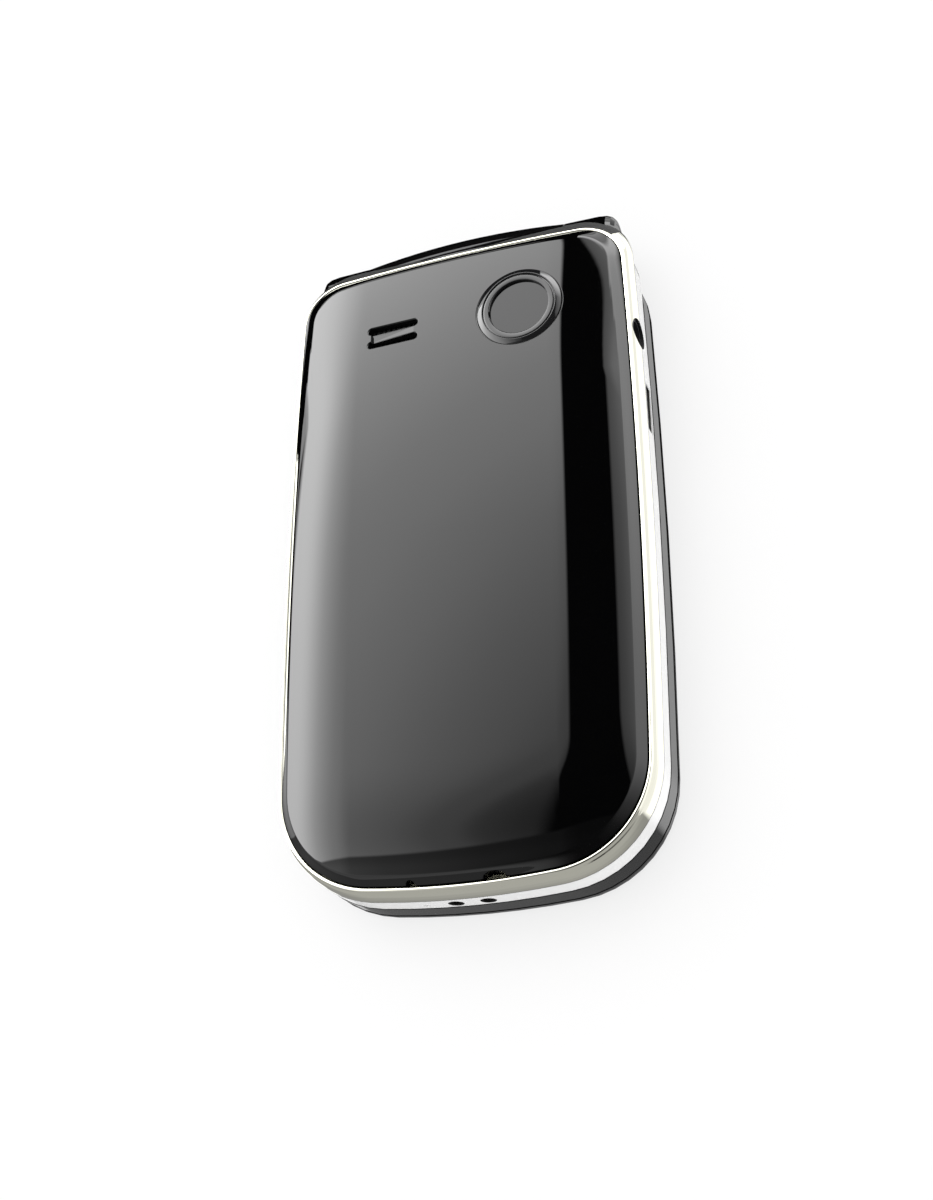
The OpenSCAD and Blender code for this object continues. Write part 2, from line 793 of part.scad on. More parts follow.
module ok_key() {
    color([0.85, 0.85, 0.86])
    translate([0, nav_y, 0])
        union() {
            translate([0, 0, key_face_z])
                cylinder(h = flange_z - key_face_z + eps, r = ok_r, $fn = 48);
            translate([0, 0, flange_z])
                cylinder(h = flange_t, r = ok_r + flange_out, $fn = 48);
        }
}

module boss_gaps(z0, z1, r) {
    for (p = screw_spots) {
        for (s = [-1, 1]) {
            post(s * p[0], p[1], z0, z1, r);
        }
    }
}

module keypad_membrane() {
    color([0.55, 0.56, 0.58])
    difference() {
        plate(keypad_w - 3.6, keypad_foot_y + 0.6, keypad_head_y - 1, membrane_z, membrane_t, 2);
        boss_gaps(membrane_z - 1, membrane_z + 1, boss_r + 0.3);
    }
}

module dome_sheet() {
    sheet_t = 0.1;
    color([0.8, 0.8, 0.78])
    difference() {
        union() {
            plate(keypad_w - 4.6, keypad_foot_y + 1.1, keypad_head_y - 1.5, pcb_z - sheet_t, sheet_t, 2);
            for (i = [0 : 2]) {
                for (j = [0 : 3]) {
                    post((i - 1) * key_pitch_x, row_y - j * key_pitch_y, pcb_z - dome_t, pcb_z, 2);
                }
            }
            for (s = [-1, 1]) {
                post(s * side_key_x, soft_y, pcb_z - dome_t, pcb_z, 2);
                post(s * side_key_x, call_y, pcb_z - dome_t, pcb_z, 2);
                post(s * (nav_r - 2.3), nav_y, pcb_z - dome_t, pcb_z, 1.4);
            }
            post(0, nav_y + nav_r - 2.3, pcb_z - dome_t, pcb_z, 1.4);
            post(0, nav_y - nav_r + 2.3, pcb_z - dome_t, pcb_z, 1.4);
            post(0, nav_y, pcb_z - dome_t, pcb_z, 1.6);
        }
        boss_gaps(pcb_z - 1, pcb_z + 1, boss_r + 0.3);
    }
}

// Electronics in the main body

module main_pcb() {
    color([0.05, 0.3, 0.15])
    difference() {
        intersection() {
            slab(-tray_in - 1.6, pcb_z, pcb_z + pcb_t);
            block(-lip_half_w, lip_half_w, foot - 3, lip_half_l - 6.4, pcb_z - 1, pcb_z + 2);
        }
        boss_gaps(pcb_z - 1, pcb_z + 2, boss_r + 0.2);
        block(jack_x0 - 0.6, 30, jack_y - jack_half - 0.1, jack_y + jack_half + 0.1, pcb_z - 1, pcb_z + 2);
        rod_x(jack_x0 - 2.6, jack_x0 + 0.4, jack_y, jack_z, jack_hole_r);
        block(-30, -lip_half_w + 3.3, rocker_y - rocker_l / 2 - 1, rocker_y + rocker_l / 2 + 1,
            pcb_z - 1, pcb_z + 2);
        for (s = [-1, 1]) {
            rod_y(s * well_x, foot - 3.3, foot + 3.5, well_z, well_r + 0.5);
        }
    }
}

module shield_can() {
    half = card_half_w - 0.3;
    color([0.7, 0.7, 0.7])
    difference() {
        block(-half, half, card_foot_y + 0.3, card_head_y - 0.3, bay_z, bay_z + 0.9);
        block(-half + 0.2, half - 0.2, card_foot_y + 0.5, card_head_y - 0.5, bay_z - 1, bay_z + 0.7);
    }
}

module battery() {
    color([0.12, 0.12, 0.13])
    difference() {
        translate([0, bay_y, bay_z + 0.03])
            linear_extrude(battery_t)
                tile(battery_w, battery_l, 1.2);
        for (i = [-1 : 1]) {
            block(i * contact_pitch - 1.2, i * contact_pitch + 1.2, bay_head_y - bay_gap - 0.3,
                bay_head_y + 1, bay_z + 0.7, bay_z + 2.3);
        }
    }
}

module battery_contacts() {
    color([0.85, 0.7, 0.3])
    union() {
        block(-contact_half_w, contact_half_w, bay_head_y + 0.35, bay_head_y + contact_room - 0.2,
            bay_z + 0.02, bay_z + 2.4);
        for (i = [-1 : 1]) {
            block(i * contact_pitch - 0.7, i * contact_pitch + 0.7, bay_head_y - 0.4, bay_head_y + 0.4,
                bay_z + 1, bay_z + 1.9);
        }
    }
}

module sim_holder() {
    mouth = card_head_y + 1;
    color([0.75, 0.75, 0.76])
    difference() {
        block(-card_half_w, card_half_w, card_foot_y, card_head_y, card_z, card_z + 1.3);
        block(-card_half_w + 1.2, card_half_w - 1.4, card_foot_y + 1, mouth, card_z + 0.3, card_z + 1.1);
        block(-9, 9, card_foot_y + 1.9, mouth, card_z + 0.9, card_z + 2);
    }
}

module sim_card() {
    sheet_z = card_z + 0.32;
    corner_x = -card_half_w + 1.7;
    corner_y = card_head_y - 0.2;
    color([0.95, 0.95, 0.9])
    difference() {
        block(corner_x, card_half_w - 1.9, card_foot_y + 1.3, corner_y, sheet_z, sheet_z + 0.75);
        translate([corner_x, corner_y, sheet_z - 1])
            rotate([0, 0, 45])
                cube([3, 3, 4], center = true);
    }
}

module loudspeaker() {
    color([0.1, 0.1, 0.1])
    difference() {
        union() {
            translate([slot_x, slot_y, bay_z + 0.03])
                linear_extrude(2.3)
                    tile(speaker_w, speaker_l, 2);
            translate([slot_x, slot_y, bay_z + 2.3])
                linear_extrude(0.45)
                    tile(speaker_w - 2, speaker_l - 1.8, 1.6);
        }
        translate([slot_x, slot_y, bay_z + 2.5])
            linear_extrude(1)
                tile(speaker_w - 3.4, speaker_l - 3.2, 1.2);
    }
}

module camera_module() {
    base_z = pcb_z + pcb_t + 0.03;
    color([0.08, 0.08, 0.09])
    difference() {
        union() {
            block(cam_x - cam_half, cam_x + cam_half, cam_y - cam_half + 0.2, cam_y + cam_half,
                base_z, base_z + 2.6);
            post(cam_x, cam_y + 0.1, base_z + 2.5, cam_z - 1.15, 2.7, 48);
        }
        post(cam_x, cam_y + 0.1, cam_z - 1.7, cam_z, 1.7, 48);
    }
}

module headset_jack() {
    color([0.12, 0.12, 0.13])
    difference() {
        union() {
            block(jack_x0, jack_x1, jack_y - jack_half, jack_y + jack_half, jack_z - 2.3, jack_z + 2.3);
            rod_x(jack_x1 - 1, side_x(jack_y) + wall_out - 0.5, jack_y, jack_z, jack_hole_r - 0.07);
        }
        // flat under the skirt of the rear cover
        block(jack_x1, side_x(jack_y) + 0.1, jack_y - jack_half - 1, jack_y + jack_half + 1, shelf_z, top_z);
        rod_x(jack_x0 - 1, lip_half_w + 2, jack_y, jack_z, jack_r);
    }
}

module usb_socket() {
    x1 = side_x(usb_y) + wall_out - 0.45;
    color([0.7, 0.7, 0.72])
    union() {
        difference() {
            block(x1 - 5, x1, usb_y - usb_half, usb_y + usb_half, usb_z - 1.15, usb_z + 1.15);
            block(x1 - 4.5, x1 + 1, usb_y - usb_half + 0.25, usb_y + usb_half - 0.25,
                usb_z - 0.9, usb_z + 0.9);
        }
        block(x1 - 4.8, x1 - 0.9, usb_y - 2.2, usb_y + 2.2, usb_z - 0.25, usb_z + 0.25);
    }
}

module microphone() {
    color([0.6, 0.55, 0.35])
    post(mouth_x, mouth_y, face_in_z + 0.1, pcb_z - 0.02, 2);
}

module charging_contacts() {
    color([0.85, 0.7, 0.3])
    for (s = [-1, 1]) {
        difference() {
            union() {
                rod_y(s * well_x, foot - 1.05, well_back_y - 0.1, well_z, well_r - 0.03);
                block(s * well_x - well_r - 0.35, s * well_x + well_r + 0.35, foot + 1.1, well_back_y - 0.1,
                    face_in_z + 0.03, well_z + well_r);
            }
            rod_y(s * well_x, foot - 3, foot + 1.2, well_z, well_r - 0.18);
        }
        rod_y(s * well_x, foot + 0.4, foot + 1.3, well_z, well_r - 0.5);
    }
}

module vibration_motor() {
    color([0.75, 0.75, 0.76])
    difference() {
        rod_y(motor_x, motor_y - 9.4, motor_y, motor_z, motor_r);
        rod_y(motor_x, motor_y - 9.9, motor_y - 5.4, motor_z, 0.36, 24);
    }
}

module vibration_weight() {
    color([0.5, 0.48, 0.45])
    union() {
        difference() {
            rod_y(motor_x, motor_y - 14.1, motor_y - 10.3, motor_z, motor_r - 0.1);
            block(motor_x - 3, motor_x + 3, motor_y - 15, motor_y - 10, motor_z + 0.45, motor_z + 3);
        }
        rod_y(motor_x, motor_y - 14.1, motor_y - 5.9, motor_z, 0.3, 24);
    }
}

module antenna() {
    z0 = deck_z + 0.01;
    y1 = lip_half_l - 4.7;
    color([0.75, 0.55, 0.25])
    union() {
        block(-5.4, -1.2, y1 - 2.7, y1, z0, z0 + 0.2);
        block(-5.4, 17, y1 - 1.3, y1, z0, z0 + 0.2);
        block(16, 17.2, y1 - 2, y1, z0, z0 + 0.2);
    }
}

module case_screws() {
    head_z = screw_head_z;
    color([0.55, 0.55, 0.57])
    for (p = screw_spots) {
        for (s = [-1, 1]) {
            difference() {
                union() {
                    post(s * p[0], p[1], head_z + 0.02, head_z + 0.62, 1.35, 24);
                    post(s * p[0], p[1], face_in_z + 0.6, head_z + 0.1, 0.7, 24);
                }
                block(s * p[0] - 0.15, s * p[0] + 0.15, p[1] - 0.8, p[1] + 0.8, head_z + 0.35, head_z + 1);
                block(s * p[0] - 0.8, s * p[0] + 0.8, p[1] - 0.15, p[1] + 0.15, head_z + 0.35, head_z + 1);
            }
        }
    }
}

module volume_rocker() {
    color([0.8, 0.8, 0.78])
    union() {
        block(-lip_half_w - 1, -lip_half_w + 1.2, rocker_y - rocker_l / 2, rocker_y + rocker_l / 2,
            rocker_z - rocker_h / 2, rocker_z + rocker_h / 2);
        block(-lip_half_w + 1.1, -lip_half_w + 1.8, rocker_y - rocker_l / 2 - 0.8,
            rocker_y + rocker_l / 2 + 0.8, rocker_z - rocker_h / 2 + 0.2, rocker_z + rocker_h / 2 - 0.2);
    }
}

module hinge_caps() {
    color([0.05, 0.05, 0.05])
    for (s = [-1, 1]) {
        rod_x(s > 0 ? ear_end - 0.53 : -ear_end + 0.02, s > 0 ? ear_end - 0.02 : -ear_end + 0.53,
            hinge_y, hinge_z, hinge_cap_r, 48);
    }
}

// Lid

module lid_cover() {
    // each entry: outward offset and height
    edge = [[-3.4, 0], [-2, 0.06], [-0.8, 0.22], [0.2, 0.5], [0.85, 0.85], [1.2, 1.25],
        [lid_out, 1.8], [lid_out - 0.02, 2.5], [lid_out - 0.07, lid_split_z - 0.03]];
    color([0.02, 0.02, 0.022])
    difference() {
        loft([for (q = edge) ring_z(plan(q[0], 0, lid_corner_r), q[1])]);
        slab(-0.9, 1.1, 4, 0, lid_corner_r);
        translate([0, outer_y, -1])
            linear_extrude(1.55)
                tile(outer_w, outer_l, 2.5);
        translate([0, outer_y, -1])
            linear_extrude(4)
                tile(outer_view_w, outer_view_l, 0.5);
        // room under the barrel
        block(-barrel_half, barrel_half, lip_half_l - 2, lip_half_l + 3, hinge_z - barrel_r - 0.03, 4);
        ears(swing, barrel_half);
    }
}

module lid_outer_window() {
    color([0.1, 0.1, 0.11])
    translate([0, outer_y, 0.04])
        linear_extrude(0.5)
            tile(outer_w - 0.2, outer_l - 0.2, 2.4);
}

module outer_display() {
    color([0.2, 0.22, 0.24])
    union() {
        plate(outer_view_w + 3, outer_y - outer_view_l / 2 - 1, outer_y + outer_view_l / 2 + 1,
            1.12, 1.18, 0.4);
        plate(outer_view_w - 0.4, outer_y - outer_view_l / 2 + 0.2, outer_y + outer_view_l / 2 - 0.2,
            0.57, 0.58, 0.4);
    }
}

module lid_inner_housing() {
    top_in = 1.1;
    color([0.04, 0.04, 0.045])
    difference() {
        union() {
            difference() {
                slab(lid_out - 0.09, lid_split_z + 0.03, lid_top_z, 0, lid_corner_r);
                slab(-0.9, lid_split_z - 1, lid_top_z - top_in, 0, lid_corner_r);
            }
            barrel_body(0, barrel_half);
        }
        // display window recess and opening
        plate(window_w + 0.2, window_foot_y - 0.1, window_head_y + 0.1, lid_top_z - 0.65, 1, 3);
        plate(2 * view_half_w + 0.4, display_foot_y + view_in - 0.2, display_head_y - view_in + 0.2,
            lid_top_z - 3, 4, 0.5);
        // earpiece slot, bumper seats
        translate([0, ear_y, lid_top_z - 3])
            linear_extrude(4)
                tile(9, 1.6, 0.78);
        for (s = [-1, 1]) {
            post(s * bumper_x, ear_y, lid_top_z - 0.4, lid_top_z + 1, bumper_r + 0.05);
        }
        ears(swing, barrel_half);
        rod_x(-barrel_half - 1, pin_head_x + 0.02, hinge_y, hinge_z, cartridge_r + 0.04);
        rod_x(pin_head_x - 0.5, barrel_half + 1, hinge_y, hinge_z, pin_r + 0.02);
    }
}

module display_window() {
    color([0.08, 0.08, 0.09])
    plate(window_w, window_foot_y, window_head_y, lid_top_z - 0.62, 0.58, 2.9);
}

module main_display() {
    color([0.12, 0.16, 0.25])
    union() {
        plate(2 * display_half_w, display_foot_y, display_head_y, 3.6, lid_top_z - 4.75, 0.4);
        plate(2 * view_half_w, display_foot_y + view_in, display_head_y - view_in,
            lid_top_z - 1.2, 0.55, 0.4);
    }
}

module earpiece() {
    color([0.2, 0.2, 0.21])
    translate([0, ear_y, 3.4])
        linear_extrude(lid_top_z - 1.15 - 3.4)
            tile(12, 6, 1.5);
}

module earpiece_mesh() {
    color([0.3, 0.3, 0.31])
    translate([0, ear_y, lid_top_z - 1.13])
        linear_extrude(0.3)
            tile(8.8, 1.4, 0.65);
}

module lid_pcb() {
    color([0.05, 0.3, 0.15])
    difference() {
        slab(-2, 2.45, 3.25, -4, lid_corner_r);
        ears(swing + 0.3, barrel_half);
    }
}

module lid_magnet() {
    color([0.55, 0.55, 0.57])
    block(-20.5, -15.5, foot + 14.2, foot + 17.2, 3.3, 5.4);
}

module lid_bumpers() {
    color([0.2, 0.2, 0.2])
    for (s = [-1, 1]) {
        post(s * bumper_x, ear_y, lid_top_z - 0.38, lid_top_z + 0.12, bumper_r);
    }
}

module hinge_module() {
    color([0.6, 0.6, 0.62])
    union() {
        rod_x(-barrel_half + 0.2, -3, hinge_y, hinge_z, cartridge_r);
        rod_x(-ear_end + 1, -barrel_half + 0.3, hinge_y, hinge_z, pin_r);
    }
}

module hinge_pin() {
    color([0.6, 0.6, 0.62])
    union() {
        rod_x(pin_head_x - 0.1, ear_end - 1, hinge_y, hinge_z, pin_r);
        rod_x(pin_head_x - 2.1, pin_head_x, hinge_y, hinge_z, cartridge_r - 0.1);
    }
}

rear_cover();
camera_ring();
camera_window();
speaker_mesh();
rear_trim_band();
rear_housing();
front_housing();
keypad_membrane();
dome_sheet();
main_pcb();
shield_can();
battery();
battery_contacts();
sim_holder();
sim_card();
loudspeaker();
camera_module();
headset_jack();
usb_socket();
microphone();
charging_contacts();
vibration_motor();
vibration_weight();
antenna();
case_screws();
volume_rocker();
hinge_caps();
key_1();
key_2();
key_3();
key_4();
key_5();
key_6();
key_7();
key_8();
key_9();
key_star();
key_0();
key_hash();
key_soft_left();
key_soft_right();
key_call();
key_end();
nav_ring();
ok_key();
lid_cover();
lid_outer_window();
outer_display();
lid_inner_housing();
display_window();
main_display();
earpiece();
earpiece_mesh();
lid_pcb();
lid_magnet();
lid_bumpers();
hinge_module();
hinge_pin();
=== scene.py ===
"""Clamshell feature phone, closed, seen from its rear cover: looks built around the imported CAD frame."""
import json
import math
import bmesh
import bpy
import numpy as np
from mathutils import Matrix, Vector
from mathutils.bvhtree import BVHTree
from mathutils.geometry import delaunay_2d_cdt


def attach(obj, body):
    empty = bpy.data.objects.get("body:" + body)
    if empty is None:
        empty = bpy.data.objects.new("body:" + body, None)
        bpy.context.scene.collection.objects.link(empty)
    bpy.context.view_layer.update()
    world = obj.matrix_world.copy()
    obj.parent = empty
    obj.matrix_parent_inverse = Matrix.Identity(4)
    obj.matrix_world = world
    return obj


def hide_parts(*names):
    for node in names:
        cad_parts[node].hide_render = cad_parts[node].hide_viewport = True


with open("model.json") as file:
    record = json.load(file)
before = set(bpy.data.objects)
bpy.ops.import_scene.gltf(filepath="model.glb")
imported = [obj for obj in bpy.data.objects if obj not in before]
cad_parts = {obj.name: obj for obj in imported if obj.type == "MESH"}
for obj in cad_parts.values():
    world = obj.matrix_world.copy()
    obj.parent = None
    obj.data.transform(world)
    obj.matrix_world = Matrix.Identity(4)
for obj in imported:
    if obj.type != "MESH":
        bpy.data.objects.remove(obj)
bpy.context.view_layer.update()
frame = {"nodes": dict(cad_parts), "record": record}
SLOT_OF = {row["node"]: row["material_slot"] for row in frame["record"]["subparts"]}
MM = 0.001
SCENE = bpy.context.scene

# Phone sizes in mm, as in the CAD source
HW, HL = 25.5, 47.7
SIDE_R, HINGE_END_R, FOOT_END_R = 1158.0, 340.0, 126.0
HINGE_CR, FOOT_CR = 6.7, 13.8
WALL_OUT, RIM_OUT = 1.19, 0.51
BAND_Z, SHELF_Z, LIP_Z, CROWN_Z = 10.06, 12.35, 13.33, 16.9
DROP_X, DROP_HEAD, DROP_FOOT = 0.65, 1.8, 0.6
ROLL_W, ROLL_R, SWEEP_L, SWEEP = 10.7, 28.0, 16.0, 1.73
EDGE_W, EDGE_W_HEAD, EDGE_POWER = 1.25, 1.9, 1.4
FADE_Y, FADE_L, FADE_SHARE = 22.0, 25.0, 0.4
COVER_T, SKIRT_IN, SKIRT_Z = 1.1, 1.2, 12.43
HINGE_Y, HINGE_Z, BARREL_R, BARREL_TAPER, BARREL_HALF, EAR_END = 48.54, 7.8, 4.8, 0.95, 15.6, 23.4
SWING = 0.25
CAM_X, CAM_Y, CAM_R = 10.2, 34.4, 6.3
SLOT_X, SLOT_Y, SLOT_PITCH, SLOT_W, SLOT_RUN = -9.3, 34.5, 2.45, 1.15, 6.7
JACK_Y, JACK_Z, JACK_HOLE_R = 29.3, 10.5, 2.25
WELL_X, WELL_Z = 2.18, 8.25
USB_Y, USB_Z, USB_MOUTH_X = 18.0, 8.45, 26.1
NOTCH_X, NOTCH_HALF, NOTCH_DEPTH = 5.0, 1.9, 0.75
MIC_X, MIC_R = -6.3, 0.65
CHUNK = 4000


# Plan outline
def meet(a, ra, b, rb, up):
    """The upper or the lower crossing of two circles with centres a and b."""
    a, b = np.array(a, float), np.array(b, float)
    d = np.linalg.norm(b - a)
    m = (ra * ra - rb * rb + d * d) / (2 * d)
    h = math.sqrt(ra * ra - m * m)
    u = (b - a) / d
    p = a + m * u + h * np.array([-u[1], u[0]])
    q = a + m * u - h * np.array([-u[1], u[0]])
    return p if (p[1] > q[1]) == up else q


def arc(c, r, a0, a1, n):
    turns = [a0 + (a1 - a0) * i / n for i in range(n)]
    return [(c[0] + r * math.cos(a), c[1] + r * math.sin(a)) for a in turns]


ARC_STEPS = (18, 36, 40, 30, 18)


def plan(o=0.0, e=0.0, rh=HINGE_CR):
    """Outline of the phone moved outwards by o, its hinge end stretched by e, with hinge corner rh."""
    t = (0.0, HL + e - HINGE_END_R)
    s = (HW - SIDE_R, 0.0)
    b = (0.0, FOOT_END_R - HL)
    fh = meet(t, HINGE_END_R - rh, s, SIDE_R - rh, True)
    ff = meet(b, FOOT_END_R - FOOT_CR, s, SIDE_R - FOOT_CR, False)
    a1, a2, a3, a4 = (math.atan2(q[1] - p[1], q[0] - p[0]) for p, q in ((b, ff), (s, ff), (s, fh), (t, fh)))
    n = ARC_STEPS
    half = (arc(b, FOOT_END_R + o, -math.pi / 2, a1, n[0]) + arc(ff, FOOT_CR + o, a1, a2, n[1])
            + arc(s, SIDE_R + o, a2, a3, n[2]) + arc(fh, rh + o, a3, a4, n[3])
            + arc(t, HINGE_END_R + o, a4, math.pi / 2, n[4]))
    return np.array(half + [(0.0, t[1] + HINGE_END_R + o)] + [(-p[0], p[1]) for p in half[:0:-1]])


def closest(points, outline):
    """The nearest spot of the outline to each point, and 1 or -1 for a point inside or outside it."""
    d = np.roll(outline, -1, axis=0) - outline
    long2 = (d ** 2).sum(1) + 1e-12
    spots = np.empty((len(points), 2))
    side = np.empty(len(points))
    for k in range(0, len(points), CHUNK):
        p = points[k:k + CHUNK]
        s = np.clip(((p[:, None, :] - outline) * d).sum(2) / long2, 0, 1)
        q = outline + s[..., None] * d
        i = ((p[:, None, :] - q) ** 2).sum(2).argmin(1)
        spots[k:k + CHUNK] = q[np.arange(len(p)), i]
        turn = d[i, 0] * (p[:, 1] - outline[i, 1]) - d[i, 1] * (p[:, 0] - outline[i, 0])
        side[k:k + CHUNK] = np.where(turn > 0, 1, -1)
    return spots, side


def inset(points, outline):
    """How far each point lies inside the outline (negative outside)."""
    spots, side = closest(points, outline)
    return np.hypot(*(points - spots).T) * side


LIP_LINE = plan()


# Rear cover surfaces
def head_fade(y):
    t = np.clip((y - FADE_Y) / FADE_L, 0, 1)
    return t * t * (3 - 2 * t)


def crown(p):
    """Height of the cover before its edge round: a crown, a roll along each side and a sweep at the foot."""
    x, y = p[:, 0], p[:, 1]
    side = HW - SIDE_R + np.sqrt(SIDE_R ** 2 - y ** 2)
    foot = FOOT_END_R - HL - np.sqrt(FOOT_END_R ** 2 - x ** 2)
    side_d = np.maximum(0, ROLL_W - side + abs(x))
    foot_d = np.maximum(0, 1 - (y - foot) / SWEEP_L)
    z = CROWN_Z - DROP_X * (x / HW) ** 2 - np.where(y > 0, DROP_HEAD, DROP_FOOT) * (y / HL) ** 2
    return z - (1 - FADE_SHARE * head_fade(y)) * side_d ** 2 / (2 * ROLL_R) - SWEEP * foot_d ** 3


def cover_top(p):
    w = EDGE_W + (EDGE_W_HEAD - EDGE_W) * head_fade(p[:, 1])
    d = np.clip(inset(p, LIP_LINE) / w, 0, 1)
    return LIP_Z + (crown(p) - LIP_Z) * (1 - (1 - d) ** EDGE_POWER)


def circle(cx, cy, r, n=96):
    turns = [2 * math.pi * i / n for i in range(n)]
    return np.array([(cx + r * math.cos(a), cy + r * math.sin(a)) for a in turns])


def stadium(cx, cy, run, w, n=20):
    """Slot outline: two half circles of diameter w whose centres are run apart."""
    r, q = w / 2, math.pi / 2
    ends = ((cx + run / 2, -q, q), (cx - run / 2, q, 3 * q))
    return np.array([(x + r * math.cos(t), cy + r * math.sin(t)) for x, t0, t1 in ends for t in np.linspace(t0, t1, n)])


# Material graph helper
class Graph:
    """Short calls for wiring shader nodes."""

    def __init__(self, tree):
        self.tree = tree

    def node(self, kind, **props):
        n = self.tree.nodes.new(kind)
        for k, v in props.items():
            setattr(n, k, v)
        return n

    def put(self, socket, value):
        if isinstance(value, bpy.types.NodeSocket):
            self.tree.links.new(value, socket)
        else:
            socket.default_value = value

    def math(self, op, a, b=0.0, c=0.0):
        n = self.node("ShaderNodeMath", operation=op)
        for i, v in enumerate((a, b, c)):
            if i < len(n.inputs):
                self.put(n.inputs[i], v)
        return n.outputs[0]

    def step(self, value, lo, hi, out_lo=0.0, out_hi=1.0, kind="SMOOTHSTEP"):
        n = self.node("ShaderNodeMapRange", interpolation_type=kind, clamp=True)
        names = ("Value", "From Min", "From Max", "To Min", "To Max")
        for name, v in zip(names, (value, lo, hi, out_lo, out_hi)):
            self.put(n.inputs[name], v)
        return n.outputs["Result"]

    def ramp(self, value, stops):
        n = self.node("ShaderNodeValToRGB")
        cr = n.color_ramp
        while len(cr.elements) < len(stops):
            cr.elements.new(0.5)
        for el, (pos, tone) in zip(cr.elements, stops):
            el.position = pos
            el.color = (tone, tone, tone, 1)
        self.put(n.inputs["Fac"], value)
        return n.outputs["Color"]


def noise(g, scale, detail=3.0, stretch=None):
    co = g.node("ShaderNodeTexCoord").outputs["Object"]
    if stretch:
        m = g.node("ShaderNodeMapping")
        g.put(m.inputs["Vector"], co)
        m.inputs["Scale"].default_value = stretch
        co = m.outputs["Vector"]
    n = g.node("ShaderNodeTexNoise")
    g.put(n.inputs["Vector"], co)
    n.inputs["Scale"].default_value = scale
    n.inputs["Detail"].default_value = detail
    return n.outputs["Fac"]


MATS = {}


def finish(name, color, rough, vary, rough_vary, metal=0.0, ior=1.5, grain=3000.0, bump=0.0, bump_scale=None,
           brushed=None):
    """Procedural material: tone and roughness drift with fine grain, and a little relief."""
    m = bpy.data.materials.new(name)
    m.use_nodes = True
    g = Graph(m.node_tree)
    bsdf = m.node_tree.nodes["Principled BSDF"]
    fine = noise(g, grain, 4.0, brushed)
    broad = noise(g, grain / 25, 2.0)
    mix = g.node("ShaderNodeMix", data_type="RGBA")
    g.put(mix.inputs["Factor"], g.math("MULTIPLY", g.math("ADD", fine, broad), 0.5))
    mix.inputs[6].default_value = (*(c * (1 - vary) for c in color), 1)
    mix.inputs[7].default_value = (*(min(1.0, c * (1 + vary)) for c in color), 1)
    g.put(bsdf.inputs["Base Color"], mix.outputs[2])
    g.put(bsdf.inputs["Roughness"], g.step(g.math("MULTIPLY", g.math("ADD", fine, broad), 0.5), 0.3, 0.7,
                                           max(0.0, rough * (1 - rough_vary)), rough * (1 + rough_vary)))
    bsdf.inputs["Metallic"].default_value = metal
    bsdf.inputs["IOR"].default_value = ior
    if bump:
        b = g.node("ShaderNodeBump")
        b.inputs["Strength"].default_value = 1.0
        b.inputs["Distance"].default_value = bump
        g.put(b.inputs["Height"], noise(g, bump_scale or grain, 2.0, brushed))
        g.put(bsdf.inputs["Normal"], b.outputs["Normal"])
    MATS[name] = m
    return m


def shade_inside(name, base, shape):
    """Copy of a finish that turns dull black where shape(g, x, y, z) is 1; coordinates are in mm."""
    m = MATS[base].copy()
    m.name = name
    g = Graph(m.node_tree)
    bsdf = m.node_tree.nodes["Principled BSDF"]
    sep = g.node("ShaderNodeSeparateXYZ")
    g.put(sep.inputs[0], g.node("ShaderNodeTexCoord").outputs["Object"])
    mask = shape(g, *[g.math("MULTIPLY", v, 1 / MM) for v in sep.outputs])
    for key, dark in (("Base Color", (0.003, 0.003, 0.003, 1)), ("Roughness", 0.7), ("Metallic", 0.0)):
        socket = bsdf.inputs[key]
        mix = g.node("ShaderNodeMix", data_type="RGBA" if key == "Base Color" else "FLOAT")
        ins = (6, 7, 2) if key == "Base Color" else (2, 3, 0)
        g.put(mix.inputs["Factor"], mask)
        g.put(mix.inputs[ins[0]], socket.links[0].from_socket if socket.is_linked else socket.default_value)
        mix.inputs[ins[1]].default_value = dark
        g.put(socket, mix.outputs[ins[2]])
    MATS[name] = m


